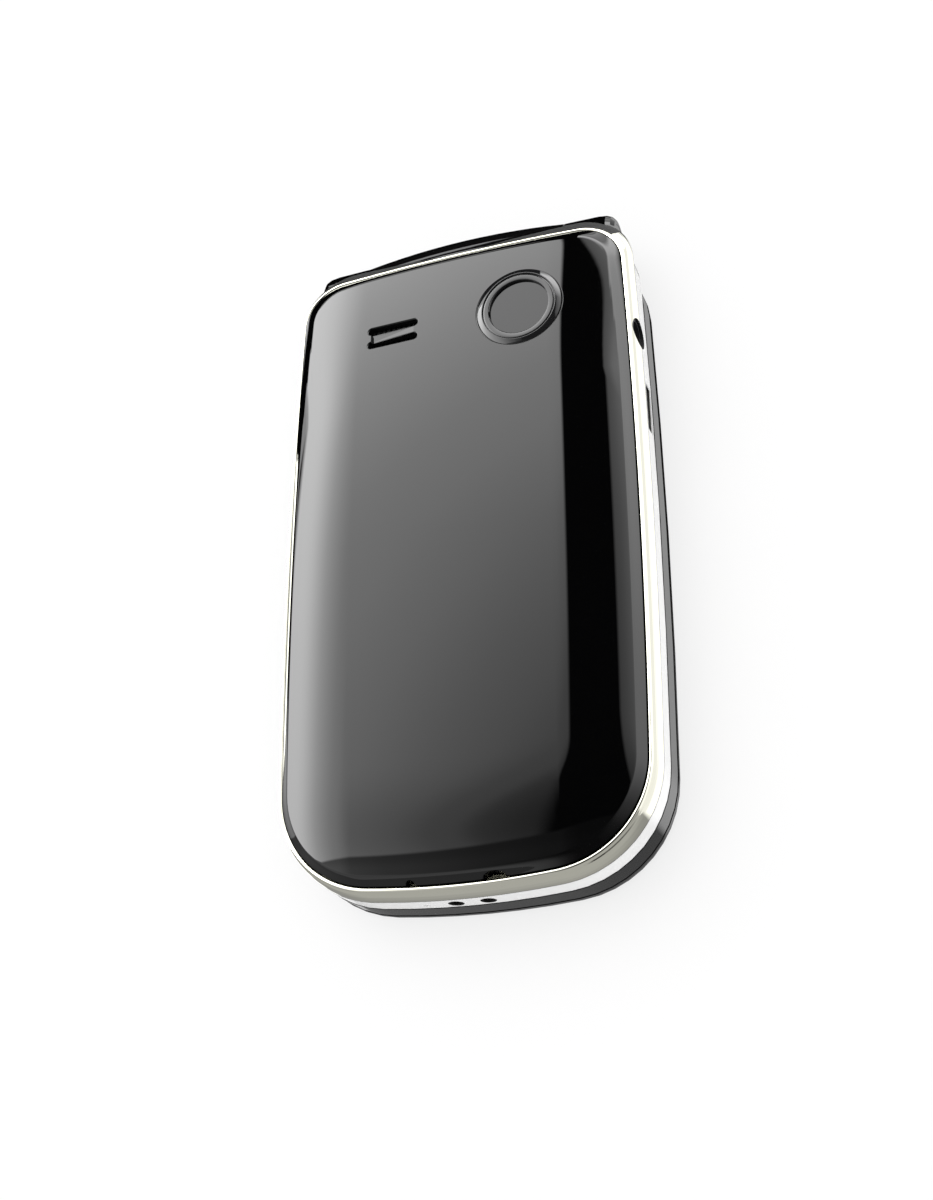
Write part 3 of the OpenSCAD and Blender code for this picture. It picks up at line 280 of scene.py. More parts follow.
def build_materials():
    finish("gloss_black", (0.0012, 0.0012, 0.0013), 0.02, 0.3, 0.5, grain=900)
    finish("inner_black", (0.006, 0.006, 0.0065), 0.35, 0.2, 0.2, grain=2500, bump=2e-6)
    finish("lid_black", (0.004, 0.004, 0.0042), 0.05, 0.3, 0.3, grain=1500)
    finish("trim_chrome", (0.93, 0.92, 0.80), 0.05, 0.02, 0.3, metal=1.0, grain=1800)
    finish("ring_chrome", (0.010, 0.010, 0.0105), 0.04, 0.2, 0.3, grain=2500, ior=1.6)
    finish("white_gloss", (0.96, 0.96, 0.955), 0.2, 0.015, 0.25, grain=1200)
    finish("camera_glass", (0.003, 0.003, 0.0034), 0.02, 0.2, 0.3, grain=900)
    finish("mesh_metal", (0.012, 0.012, 0.0125), 0.5, 0.15, 0.2, grain=5000)
    finish("membrane_rubber", (0.42, 0.43, 0.45), 0.55, 0.08, 0.15, grain=4000, bump=3e-6)
    finish("dome_metal", (0.75, 0.74, 0.70), 0.3, 0.06, 0.2, metal=0.9, grain=3000)
    finish("board", (0.02, 0.16, 0.07), 0.35, 0.25, 0.25, grain=1500, bump=4e-6, bump_scale=1500)
    finish("tin_metal", (0.62, 0.62, 0.60), 0.33, 0.06, 0.25, metal=1.0, grain=2000, brushed=(1, 8, 1))
    finish("battery_wrap", (0.035, 0.036, 0.04), 0.42, 0.2, 0.2, grain=2500, bump=3e-6)
    finish("contact_gold", (0.83, 0.62, 0.24), 0.2, 0.05, 0.25, metal=1.0, grain=4000)
    finish("card_plastic", (0.85, 0.85, 0.80), 0.4, 0.05, 0.2, grain=2000, bump=2e-6)
    finish("dark_plastic", (0.008, 0.008, 0.0085), 0.5, 0.2, 0.2, grain=3000, bump=3e-6)
    finish("weight_metal", (0.5, 0.5, 0.52), 0.35, 0.08, 0.2, metal=1.0, grain=3000)
    finish("screw_steel", (0.5, 0.5, 0.51), 0.28, 0.06, 0.25, metal=1.0, grain=4000)
    finish("hinge_steel", (0.6, 0.6, 0.61), 0.25, 0.06, 0.25, metal=1.0, grain=2500, brushed=(1, 10, 10))
    finish("nav_silver", (0.66, 0.67, 0.69), 0.24, 0.05, 0.25, metal=1.0, grain=2500)
    finish("key_white", (0.82, 0.82, 0.81), 0.3, 0.03, 0.2, grain=2500, bump=1e-6)
    finish("key_green", (0.02, 0.42, 0.10), 0.3, 0.1, 0.2, grain=2500)
    finish("key_red", (0.62, 0.02, 0.02), 0.3, 0.1, 0.2, grain=2500)
    finish("window_dark", (0.004, 0.004, 0.0045), 0.03, 0.3, 0.4, grain=900)
    finish("display_dark", (0.012, 0.018, 0.03), 0.15, 0.2, 0.3, grain=2000)
    finish("bumper_rubber", (0.03, 0.03, 0.03), 0.7, 0.2, 0.15, grain=4000, bump=5e-6)


build_materials()


def near(g, a, b, half):
    """1 where a is less than half away from b."""
    return g.math("LESS_THAN", g.math("ABSOLUTE", g.math("SUBTRACT", a, b)), half)


def square_sum(g, a, b):
    return g.math("ADD", g.math("MULTIPLY", a, a), g.math("MULTIPLY", b, b))


def from_well(g, x, z):
    """Square of the distance from the axis of the nearer contact well."""
    return square_sum(g, g.math("SUBTRACT", g.math("ABSOLUTE", x), WELL_X), g.math("SUBTRACT", z, WELL_Z))


def well_ring(g, x, y, z):
    """1 outside the pins of the charging contacts."""
    return g.math("GREATER_THAN", from_well(g, x, z), 0.34)


def painted_hole_shade(g, x, y, z):
    """1 inside the socket holes and the contact wells of the white housing, where black is painted as shade in these
    hollows.
    """
    from_jack = square_sum(g, g.math("SUBTRACT", y, JACK_Y), g.math("SUBTRACT", z, JACK_Z))
    jack = g.math("LESS_THAN", from_jack, 5.2)
    usb = g.math("MULTIPLY", near(g, y, USB_Y, 3.8), near(g, z, USB_Z, 1.3))
    usb = g.math("MULTIPLY", usb, g.math("LESS_THAN", x, USB_MOUTH_X + 0.25))
    right = g.math("MULTIPLY", g.math("MAXIMUM", jack, usb), g.math("GREATER_THAN", x, 23.0))
    well = g.math("MULTIPLY", g.math("LESS_THAN", from_well(g, x, z), 1.12), g.math("LESS_THAN", y, -HL + 3))
    return g.math("MAXIMUM", right, well)


def shoulders(g, x, y, z):
    """1 on the hinge shoulders of the trim band, which turn dull black up to just under the lip."""
    behind = g.math("GREATER_THAN", g.math("MULTIPLY_ADD", z, 0.8, y), 55.9)
    return g.math("MULTIPLY", behind, g.math("LESS_THAN", z, LIP_Z - 0.2))


shade_inside("well_gold", "contact_gold", well_ring)
# the tin of the USB socket is painted black past its mouth, as shade inside the socket
shade_inside("socket_tin_painted_shade", "tin_metal", lambda g, x, y, z: g.math("LESS_THAN", x, USB_MOUTH_X - 0.12))
# the white housing gets painted black shade inside its headset hole, USB slot and contact wells
shade_inside("housing_white_hole_shade", "white_gloss", painted_hole_shade)
shade_inside("trim_black_shoulders", "trim_chrome", shoulders)


def dress(obj, mat):
    obj.data.materials.clear()
    obj.data.materials.append(mat)
    for poly in obj.data.polygons:
        poly.material_index = 0


# Mesh helpers
def make(name, verts, faces, mat):
    """New object from points in mm."""
    me = bpy.data.meshes.new(name)
    me.from_pydata([tuple(c * MM for c in v) for v in verts], [], [tuple(int(i) for i in f) for f in faces])
    me.update()
    obj = bpy.data.objects.new(name, me)
    SCENE.collection.objects.link(obj)
    me.materials.append(mat)
    return obj


def bands(rings, closed=False):
    """Faces joining rings of equal length, in order."""
    n, m = len(rings[0]), len(rings)
    faces = []
    for i in range(m if closed else m - 1):
        u = (i + 1) % m
        for j in range(n):
            k = (j + 1) % n
            faces.append((i * n + j, i * n + k, u * n + k, u * n + j))
    return faces


def ring3(points, z):
    return [(p[0], p[1], z) for p in points]


def hinge_solid(name, profile, n=96):
    """Closed turned solid about the hinge axis; profile is (radius, x) from one end of the axis to the other."""
    verts = []
    for r, x in profile:
        for i in range(n):
            a = 2 * math.pi * i / n
            verts.append((x, HINGE_Y + r * math.cos(a), HINGE_Z + r * math.sin(a)))
    m = len(profile)
    faces = [(i * n + j, i * n + (j + 1) % n, (i + 1) * n + (j + 1) % n, (i + 1) * n + j)
             for i in range(m - 1) for j in range(n)]
    faces += [tuple(range(n))[::-1], tuple(range((m - 1) * n, m * n))]
    obj = make(name, verts, faces, MATS["dark_plastic"])
    fix_normals(obj)
    return obj


def fix_normals(obj):
    bm = bmesh.new()
    bm.from_mesh(obj.data)
    bmesh.ops.remove_doubles(bm, verts=bm.verts, dist=1e-8)
    bmesh.ops.recalc_face_normals(bm, faces=bm.faces)
    bm.to_mesh(obj.data)
    bm.free()
    obj.data.update()


def barrel_at(x):
    return BARREL_R - BARREL_TAPER * (x / BARREL_HALF) ** 2


def barrel_profile(grow, half, steps=24):
    return [(barrel_at(min(BARREL_HALF, abs(x))) + grow, x) for x in np.linspace(-half, half, 2 * steps + 1)]


def ear_profile(side, grow, start):
    r = BARREL_R - BARREL_TAPER
    pts = [(r + grow, start), (r - 0.1 + grow, EAR_END - 2.4), (r - 0.25 + grow, EAR_END - 1.2),
           (r - 0.55 + grow, EAR_END - 0.5), (r - 1.15 + grow, EAR_END + grow)]
    pts = [(a, side * b) for a, b in pts]
    return pts if side > 0 else pts[::-1]


def carve(obj, cutters):
    for c in cutters:
        mod = obj.modifiers.new("cut", "BOOLEAN")
        mod.operation = "DIFFERENCE"
        mod.solver = "EXACT"
        mod.object = c
    bake(obj)
    for c in cutters:
        me = c.data
        bpy.data.objects.remove(c)
        bpy.data.meshes.remove(me)


def bake(obj):
    """Applies every modifier of obj."""
    bpy.context.view_layer.update()
    deps = bpy.context.evaluated_depsgraph_get()
    new = bpy.data.meshes.new_from_object(obj.evaluated_get(deps))
    old = obj.data
    obj.modifiers.clear()
    obj.data = new
    bpy.data.meshes.remove(old)


def keep_normals(obj, source, reach=4e-6, cos_limit=0.93):
    """Gives faces of obj that still lie on the smooth source mesh the source's own normals."""
    src = source.data
    src.update()
    vn = np.empty(len(src.vertices) * 3, np.float32)
    src.vertices.foreach_get("normal", vn)
    vn = vn.reshape(-1, 3)
    co = [v.co.copy() for v in src.vertices]
    src.calc_loop_triangles()
    tris = [tuple(t.vertices) for t in src.loop_triangles]
    tree = BVHTree.FromPolygons(co, tris)
    me = obj.data
    out = [None] * len(me.loops)
    for poly in me.polygons:
        fn = poly.normal
        for li in poly.loop_indices:
            p = me.vertices[me.loops[li].vertex_index].co
            q = p.lerp(poly.center, 0.02)
            hit, normal, idx, dist = tree.find_nearest(q)
            use = fn
            if hit is not None and dist < reach and normal.dot(fn) > cos_limit:
                a, b, c = (co[i] for i in tris[idx])
                na, nb, nc = (Vector(vn[i]) for i in tris[idx])
                w = barycentric(a, b, c, p - normal * (p - a).dot(normal))
                n = na * w[0] + nb * w[1] + nc * w[2]
                if n.length > 1e-6:
                    use = n.normalized()
            out[li] = (use[0], use[1], use[2])
    for poly in me.polygons:
        poly.use_smooth = True
    me.normals_split_custom_set(out)


def barycentric(a, b, c, p):
    """Weights of the corners a, b and c at p, a little beyond the triangle at most."""
    v0, v1, v2 = b - a, c - a, p - a
    d00, d01, d11, d20, d21 = v0.dot(v0), v0.dot(v1), v1.dot(v1), v2.dot(v0), v2.dot(v1)
    den = d00 * d11 - d01 * d01
    if abs(den) < 1e-30:
        return (1, 0, 0)
    v = (d11 * d20 - d01 * d21) / den
    w = (d00 * d21 - d01 * d20) / den
    v, w = min(1.2, max(-0.2, v)), min(1.2, max(-0.2, w))
    return (1 - v - w, v, w)


def smooth(obj, angle):
    for poly in obj.data.polygons:
        poly.use_smooth = True
    obj.data.set_sharp_from_angle(angle=math.radians(angle))


# Rear cover
def cover_piece():
    speaker_z = float(crown(np.array([(SLOT_X, SLOT_Y)]))[0]) - COVER_T - 0.35
    cam_z = float(crown(np.array([(CAM_X, CAM_Y)]))[0])
    slots = [stadium(SLOT_X, SLOT_Y + s * SLOT_PITCH / 2, SLOT_RUN, SLOT_W) for s in (-1, 1)]
    bar_box = (SLOT_X - SLOT_RUN / 2, SLOT_X + SLOT_RUN / 2, SLOT_Y - SLOT_PITCH / 2, SLOT_Y + SLOT_PITCH / 2)
    hole, ledge = circle(CAM_X, CAM_Y, CAM_R + 0.04), circle(CAM_X, CAM_Y, CAM_R - 0.4)
    foot_y = -HL + 0.12
    notch_r = (NOTCH_HALF ** 2 + NOTCH_DEPTH ** 2) / (2 * NOTCH_DEPTH)
    notch_y = foot_y - notch_r + NOTCH_DEPTH
    notches = [circle(NOTCH_X, notch_y, notch_r, 128), circle(MIC_X, foot_y, MIC_R, 64)]

    loops, points, edges = [], [], []

    def loop(pts):
        start = len(points)
        points.extend([tuple(p) for p in pts])
        n = len(pts)
        edges.extend([(start + i, start + (i + 1) % n) for i in range(n)])

    outer = plan(-0.1)
    loop(outer)
    for d in (0.16, 0.24, 0.34, 0.46, 0.6, 0.76, 0.94, 1.1, SKIRT_IN, 1.26, 1.4, 1.6, 1.85, 2.2, 2.8, 3.8, 5.0):
        loop(plan(-d))
    loop(hole)
    loop(ledge)
    for r in (0.06, 0.14, 0.22):
        loop(circle(CAM_X, CAM_Y, CAM_R + 0.04 + r))
    for s in (-1, 1):
        for grow in (0.0, 0.05, 0.11, 0.18):
            loop(stadium(SLOT_X, SLOT_Y + s * SLOT_PITCH / 2, SLOT_RUN, SLOT_W + 2 * grow))
    bx0, bx1, by0, by1 = bar_box
    for c in notches:
        keep = [p for p in c if p[1] > foot_y - 0.3]
        points.extend([tuple(p) for p in keep])
    grid = np.array([(x, y) for x in np.arange(-25, 25.01, 0.8) for y in np.arange(-47.2, 47.21, 0.8)])
    d = inset(grid, LIP_LINE)
    dc = np.hypot(grid[:, 0] - CAM_X, grid[:, 1] - CAM_Y)
    near_slot = abs(grid[:, 0] - SLOT_X) < SLOT_RUN / 2 + 1.2
    near_slot &= abs(grid[:, 1] - SLOT_Y) < SLOT_PITCH / 2 + 1.2
    keep = (d > 5.3) & (abs(dc - CAM_R) > 0.7) & ~near_slot
    points.extend([tuple(p) for p in grid[keep]])
    cdt = delaunay_2d_cdt([Vector(p) for p in points], edges, [], 0, 1e-5)
    pts = np.array([tuple(v) for v in cdt[0]])
    tris = np.array([f for f in cdt[2] if len(f) == 3])
    mid = pts[tris].mean(1)

    def slot_d(p):
        x = np.clip(p[:, 0], SLOT_X - SLOT_RUN / 2, SLOT_X + SLOT_RUN / 2)
        rows = [np.hypot(p[:, 0] - x, p[:, 1] - SLOT_Y - s * SLOT_PITCH / 2) for s in (-1, 1)]
        return np.minimum(*rows) - SLOT_W / 2

    def cam_d(p):
        return np.hypot(p[:, 0] - CAM_X, p[:, 1] - CAM_Y)

    def in_bar(p):
        return (p[:, 0] > bx0) & (p[:, 0] < bx1) & (p[:, 1] > by0) & (p[:, 1] < by1)

    def notch_d(p):
        nail = np.hypot(p[:, 0] - NOTCH_X, p[:, 1] - notch_y) - notch_r
        return np.minimum(nail, np.hypot(p[:, 0] - MIC_X, p[:, 1] - foot_y) - MIC_R)

    def top(p):
        z = cover_top(p)
        for dist, w in ((slot_d(p), 0.16), (cam_d(p) - CAM_R - 0.04, 0.2)):
            u = np.clip(1 - dist / w, 0, 1)
            z = z - w * (1 - np.sqrt(np.clip(1 - u * u, 0, 1)))
        return np.where(in_bar(p) & (slot_d(p) >= -1e-4), speaker_z + COVER_T - 0.2, z)

    def under(p):
        pad = (abs(p[:, 0] - SLOT_X) < 5.5) & (abs(p[:, 1] - SLOT_Y) < 3.2)
        z = np.where(pad, speaker_z, crown(p) - COVER_T)
        return np.where(inset(p, LIP_LINE) > SKIRT_IN + 0.01, np.minimum(z, cover_top(p) - 0.15), SKIRT_Z)

    inside = (inset(mid, outer) > 0) & (slot_d(mid) > 0) & (notch_d(mid) > 0)
    tris, mid = tris[inside], mid[inside]
    is_ledge = (cam_d(mid) > CAM_R - 0.4) & (cam_d(mid) < CAM_R + 0.04)
    in_hole = cam_d(mid) < CAM_R - 0.4
    flip = np.cross(pts[tris[:, 1]] - pts[tris[:, 0]], pts[tris[:, 2]] - pts[tris[:, 0]]) < 0
    tris[flip] = tris[flip][:, ::-1]
    top_tris, ledge_tris = tris[~is_ledge & ~in_hole], tris[is_ledge]
    under_tris = tris[~in_hole][:, ::-1]
    n = len(pts)
    zt, zu = top(pts), under(pts)
    verts = [(p[0], p[1], z) for p, z in zip(pts, zt)] + [(p[0], p[1], z) for p, z in zip(pts, zu)]
    verts += [(p[0], p[1], cam_z - 0.3) for p in pts]
    faces = [tuple(t) for t in top_tris] + [tuple(t + n) for t in under_tris]
    faces += [tuple(t + 2 * n) for t in ledge_tris]
    n_top = len(top_tris)

    def border(ts):
        ways = {(int(a), int(b)): True for t in ts for a, b in ((t[0], t[1]), (t[1], t[2]), (t[2], t[0]))}
        return [e for e in ways if (e[1], e[0]) not in ways]

    ledge_edges = border(ledge_tris)
    for a, b in border(top_tris):
        if (b, a) in ledge_edges:
            faces.append((b, a, a + 2 * n, b + 2 * n))
        else:
            faces.append((b, a, a + n, b + n))
    for a, b in ledge_edges:
        if cam_d(pts[[a]])[0] < CAM_R - 0.2:
            faces.append((b + 2 * n, a + 2 * n, a + n, b + n))
    obj = make("rear_cover_shell", verts, faces, MATS["gloss_black"])
    me = obj.data
    e = 0.02
    grad_x = (top(pts + [e, 0]) - top(pts - [e, 0])) / (2 * e)
    grad_y = (top(pts + [0, e]) - top(pts - [0, e])) / (2 * e)
    up = np.c_[-grad_x, -grad_y, np.ones(n)]
    up /= np.linalg.norm(up, axis=1)[:, None]
    bar = in_bar(pts)
    loops_n = []
    for poly in me.polygons:
        fn = poly.normal
        for li in poly.loop_indices:
            vi = me.loops[li].vertex_index
            if poly.index < n_top and vi < n:
                v = Vector(up[vi])
                flat = bar[vi] and in_bar(np.array([[poly.center[0] / MM, poly.center[1] / MM]]))[0]
                loops_n.append(tuple(fn) if flat or v.dot(fn) < 0.8 else tuple(v))
            else:
                loops_n.append(tuple(fn))
    for poly in me.polygons:
        poly.use_smooth = True
    me.normals_split_custom_set(loops_n)
    return obj


cover = cover_piece()
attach(cover, "cover")
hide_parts("rear_cover")


# Camera ring
def camera_ring_piece():
    """Turned ring: outer cone, a fine groove, a flat inner shelf and the seat of the window."""
    # radius, and height above the crown
    bead = [(CAM_R, -0.28), (CAM_R, -0.05), (CAM_R - 0.03, 0.0), (CAM_R - 0.1, 0.03), (5.60, 0.29), (5.53, 0.305),
            (5.47, 0.29), (5.43, 0.22), (5.41, 0.05), (5.33, 0.05), (5.31, 0.17), (5.26, 0.20), (5.1, 0.21),
            (4.6, 0.21), (4.5, 0.19), (4.45, 0.12), (4.45, -0.75), (3.9, -0.75), (3.9, -0.95),
            (CAM_R - 0.45, -0.95), (CAM_R - 0.45, -0.28)]
    z0 = float(crown(np.array([(CAM_X, CAM_Y)]))[0])
    rings = [[(x, y, z0 + h) for x, y in circle(CAM_X, CAM_Y, r, 160)] for r, h in bead]
    verts = [v for ring in rings for v in ring]
    obj = make("camera_ring_shell", verts, bands(rings, closed=True), MATS["ring_chrome"])
    fix_normals(obj)
    smooth(obj, 32)
    return obj


camera_ring = camera_ring_piece()
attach(camera_ring, "cover")
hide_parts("camera_ring")


# Champagne chrome trim band
def trim_piece():
    """Band swept round the phone, its shoulders run into the hinge ears, cut for the hinge and the headset hole."""
    ear_r = BARREL_R - BARREL_TAPER
    ear_top_y = HINGE_Y + math.sqrt(ear_r ** 2 - (BAND_Z - HINGE_Z) ** 2)
    shoulder = ear_top_y - HL - WALL_OUT
    shoulder_r = HINGE_CR + 0.5
    # the CAD profile (outset, height, share of the shoulder), resampled finely, then a rounded rim up to the lip
    outer = [(WALL_OUT - 0.03, BAND_Z, 1), (WALL_OUT - 0.09, BAND_Z + 0.9, 0.8),
             (WALL_OUT - 0.22, BAND_Z + 1.8, 0.52), (WALL_OUT - 0.4, BAND_Z + 2.5, 0.27),
             (RIM_OUT + 0.06, LIP_Z - 0.45, 0.1)]
    t = np.linspace(0, 1, len(outer))
    fine = []
    for u in np.linspace(0, 1, 17):
        fine.append(tuple(np.interp(u, t, [o[k] for o in outer]) for k in range(3)))
    fine.insert(1, (WALL_OUT - 0.036, BAND_Z + 0.1, 1))
    rim = [(RIM_OUT + 0.04, LIP_Z - 0.36, 0.07), (RIM_OUT + 0.015, LIP_Z - 0.24, 0.03)]
    rim_r = 0.16
    for a in np.linspace(0, 1, 7) * math.pi / 2:
        rim.append((RIM_OUT - rim_r + rim_r * math.cos(a), LIP_Z - rim_r + rim_r * math.sin(a) - 0.005, 0))
    inner = [(0.2, LIP_Z, 0), (0.08, LIP_Z - 0.05, 0), (0.0, LIP_Z - 0.2, 0), (0, SHELF_Z, 0), (-1, SHELF_Z, 0),
             (-1, BAND_Z, 0)]
    prof = fine + rim + inner
    rings = [ring3(plan(o, shoulder * e, HINGE_CR + (shoulder_r - HINGE_CR) * e), z) for o, z, e in prof]
    verts = [v for r in rings for v in r]
    faces = bands(rings, closed=True)
    obj = make("trim_band_shell", verts, faces, MATS["trim_black_shoulders"])
    src = make("trim_source", verts, faces, MATS["trim_chrome"])
    fix_normals(obj)
    fix_normals(src)
    n = 64
    hole = [(x, y, z) for x in (20, 30) for y, z in circle(JACK_Y, JACK_Z, JACK_HOLE_R, n)]
    caps = [tuple(range(n))[::-1], tuple(range(n, 2 * n))]
    jack = make("jack_cut", hole, bands([hole[:n], hole[n:]]) + caps, MATS["dark_plastic"])
    fix_normals(jack)
    carve(obj, [hinge_solid("c1", barrel_profile(SWING, BARREL_HALF + 0.3)),
                hinge_solid("c2", ear_profile(1, 0.02, BARREL_HALF)),
                hinge_solid("c3", ear_profile(-1, 0.02, BARREL_HALF)), jack])
    keep_normals(obj, src)
    # the headset hole's walls are painted black as shade in the hole, and the band's bottom strip is painted black as a
    # shadow line at its joint with the white housing
    obj.data.materials.append(MATS["inner_black"])
    for poly in obj.data.polygons:
        c = poly.center / MM
        in_jack = c.x > 20 and math.hypot(c.y - JACK_Y, c.z - JACK_Z) < JACK_HOLE_R + 0.02
        if in_jack and abs(poly.normal.x) < 0.3 or c.z < BAND_Z + 0.09:
            poly.material_index = 1
    me = src.data
    bpy.data.objects.remove(src)
    bpy.data.meshes.remove(me)
    return obj


trim = trim_piece()
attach(trim, "main_body")
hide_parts("rear_trim_band")

# Carried-over CAD nodes
for node_name, node in frame["nodes"].items():
    dress(node, MATS[SLOT_OF[node_name]])
dress(frame["nodes"]["charging_contacts"], MATS["well_gold"])
dress(frame["nodes"]["usb_socket"], MATS["socket_tin_painted_shade"])


# Side wall of the lid cover: outset in the CAD, height, and outset as drawn here
LID_WALL = [(-3.4, 0, -3.4), (-2, 0.06, -2), (-0.8, 0.22, -0.8), (0.2, 0.5, 0.17), (0.85, 0.85, 0.72),
            (1.2, 1.25, 1.01), (1.34, 1.8, 1.18), (1.32, 2.5, 1.29), (1.27, 3.07, 1.33)]
LID_LINE = plan(0, 0, 11.0)


def smooth_shell(node_name, mat):
    """Stands for a CAD shell with the same mesh, its outer walls shaded as the smooth curves they follow."""
    me = frame["nodes"][node_name].data.copy()
    obj = bpy.data.objects.new(node_name + "_shell", me)
    SCENE.collection.objects.link(obj)
    dress(obj, mat)
    lean = {}
    if node_name == "lid_cover":
        # the side wall of the lid curves under from the joint line
        cad_off, heights, drawn_off = zip(*LID_WALL)
        p = np.array([v.co[:] for v in me.vertices]) / MM
        near_p = closest(p[:, :2], LID_LINE)[0]
        off = -inset(p[:, :2], LID_LINE)
        for i in np.nonzero(off > 0.15)[0]:
            z = p[i, 2]
            if abs(off[i] - np.interp(z, heights, cad_off)) > 0.04:
                continue
            new = np.interp(z, heights, drawn_off)
            q = near_p[i] + (p[i, :2] - near_p[i]) / off[i] * new
            me.vertices[int(i)].co = (q[0] * MM, q[1] * MM, z * MM)
            z0, z1 = max(z - 0.25, 0), min(z + 0.25, heights[-1])
            rise = np.interp(z1, heights, drawn_off) - np.interp(z0, heights, drawn_off)
            lean[int(i)] = math.atan(rise / (z1 - z0))
        me.update()
    n = len(me.loops)
    vi = np.empty(n, np.int32)
    me.loops.foreach_get("vertex_index", vi)
    co = np.empty(len(me.vertices) * 3)
    me.vertices.foreach_get("co", co)
    co = co.reshape(-1, 3) / MM
    out_dir = co[:, :2] - closest(co[:, :2], LIP_LINE)[0]
    length = np.hypot(out_dir[:, 0], out_dir[:, 1])
    out_dir /= np.maximum(length, 1e-9)[:, None]
    away = (length > 0.8) & (inset(co[:, :2], LIP_LINE) < 0)
    # the crowned barrel round the hinge axis
    radial = co[:, 1:] - (HINGE_Y, HINGE_Z)
    radius = np.hypot(radial[:, 0], radial[:, 1])
    reach = np.minimum(abs(co[:, 0]), BARREL_HALF)
    crowned = np.array([barrel_at(r) for r in reach])
    thinner = np.array([barrel_at(min(r + 0.1, BARREL_HALF)) - barrel_at(max(r - 0.1, 0)) for r in reach]) / 0.2
    rolled = np.array([-np.sign(co[:, 0]) * thinner, radial[:, 0] / radius, radial[:, 1] / radius]).T
    rolled /= np.linalg.norm(rolled, axis=1)[:, None]
    on_barrel = (abs(radius - crowned) < 0.07) & (abs(co[:, 0]) < BARREL_HALF + 0.05)
    normals = []
    for poly in me.polygons:
        fn = poly.normal
        flat = math.hypot(fn.x, fn.y)
        for li in poly.loop_indices:
            v = vi[li]
            d = out_dir[v]
            if on_barrel[v] and fn.dot(rolled[v]) > 0.9:
                normals.append(tuple(rolled[v]))
            elif v in lean and flat > 0.3 and fn.x * d[0] + fn.y * d[1] > 0:
                normals.append((d[0] * math.cos(lean[v]), d[1] * math.cos(lean[v]), -math.sin(lean[v])))
            elif flat > 0.3 and away[v] and (fn.x * d[0] + fn.y * d[1]) / flat > 0.93:
                normals.append((d[0] * flat, d[1] * flat, fn.z))
            else:
                normals.append(tuple(fn))
    for poly in me.polygons:
        poly.use_smooth = True
    me.normals_split_custom_set(normals)
    return obj


SHELLS = (("front_housing", "main_body", "housing_white_hole_shade"), ("lid_cover", "lid", "lid_black"),
          ("lid_inner_housing", "lid", "lid_black"))
for node_name, body, mat_name in SHELLS:
    shell = smooth_shell(node_name, MATS[mat_name])
    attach(shell, body)
    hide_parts(node_name)


# Floor, light and camera
def floor_paint():
    m = finish("floor_paper", (0.9, 0.9, 0.9), 0.8, 0.01, 0.05, grain=300)
    g = Graph(m.node_tree)
    glow = g.node("ShaderNodeEmission")
    mix = g.node("ShaderNodeMixShader")
    path = g.node("ShaderNodeLightPath")
    g.put(mix.inputs[0], g.math("MULTIPLY", path.outputs["Is Camera Ray"], 0.75))
    g.put(mix.inputs[1], m.node_tree.nodes["Principled BSDF"].outputs[0])
    g.put(mix.inputs[2], glow.outputs[0])
    g.put(m.node_tree.nodes["Material Output"].inputs["Surface"], mix.outputs[0])
    return m


floor_mat = floor_paint()
floor = make("floor_sheet", [(-4000, -4000, 0), (4000, -4000, 0), (4000, 4000, 0), (-4000, 4000, 0)], [(0, 1, 2, 3)],
             floor_mat)
floor.visible_glossy = False


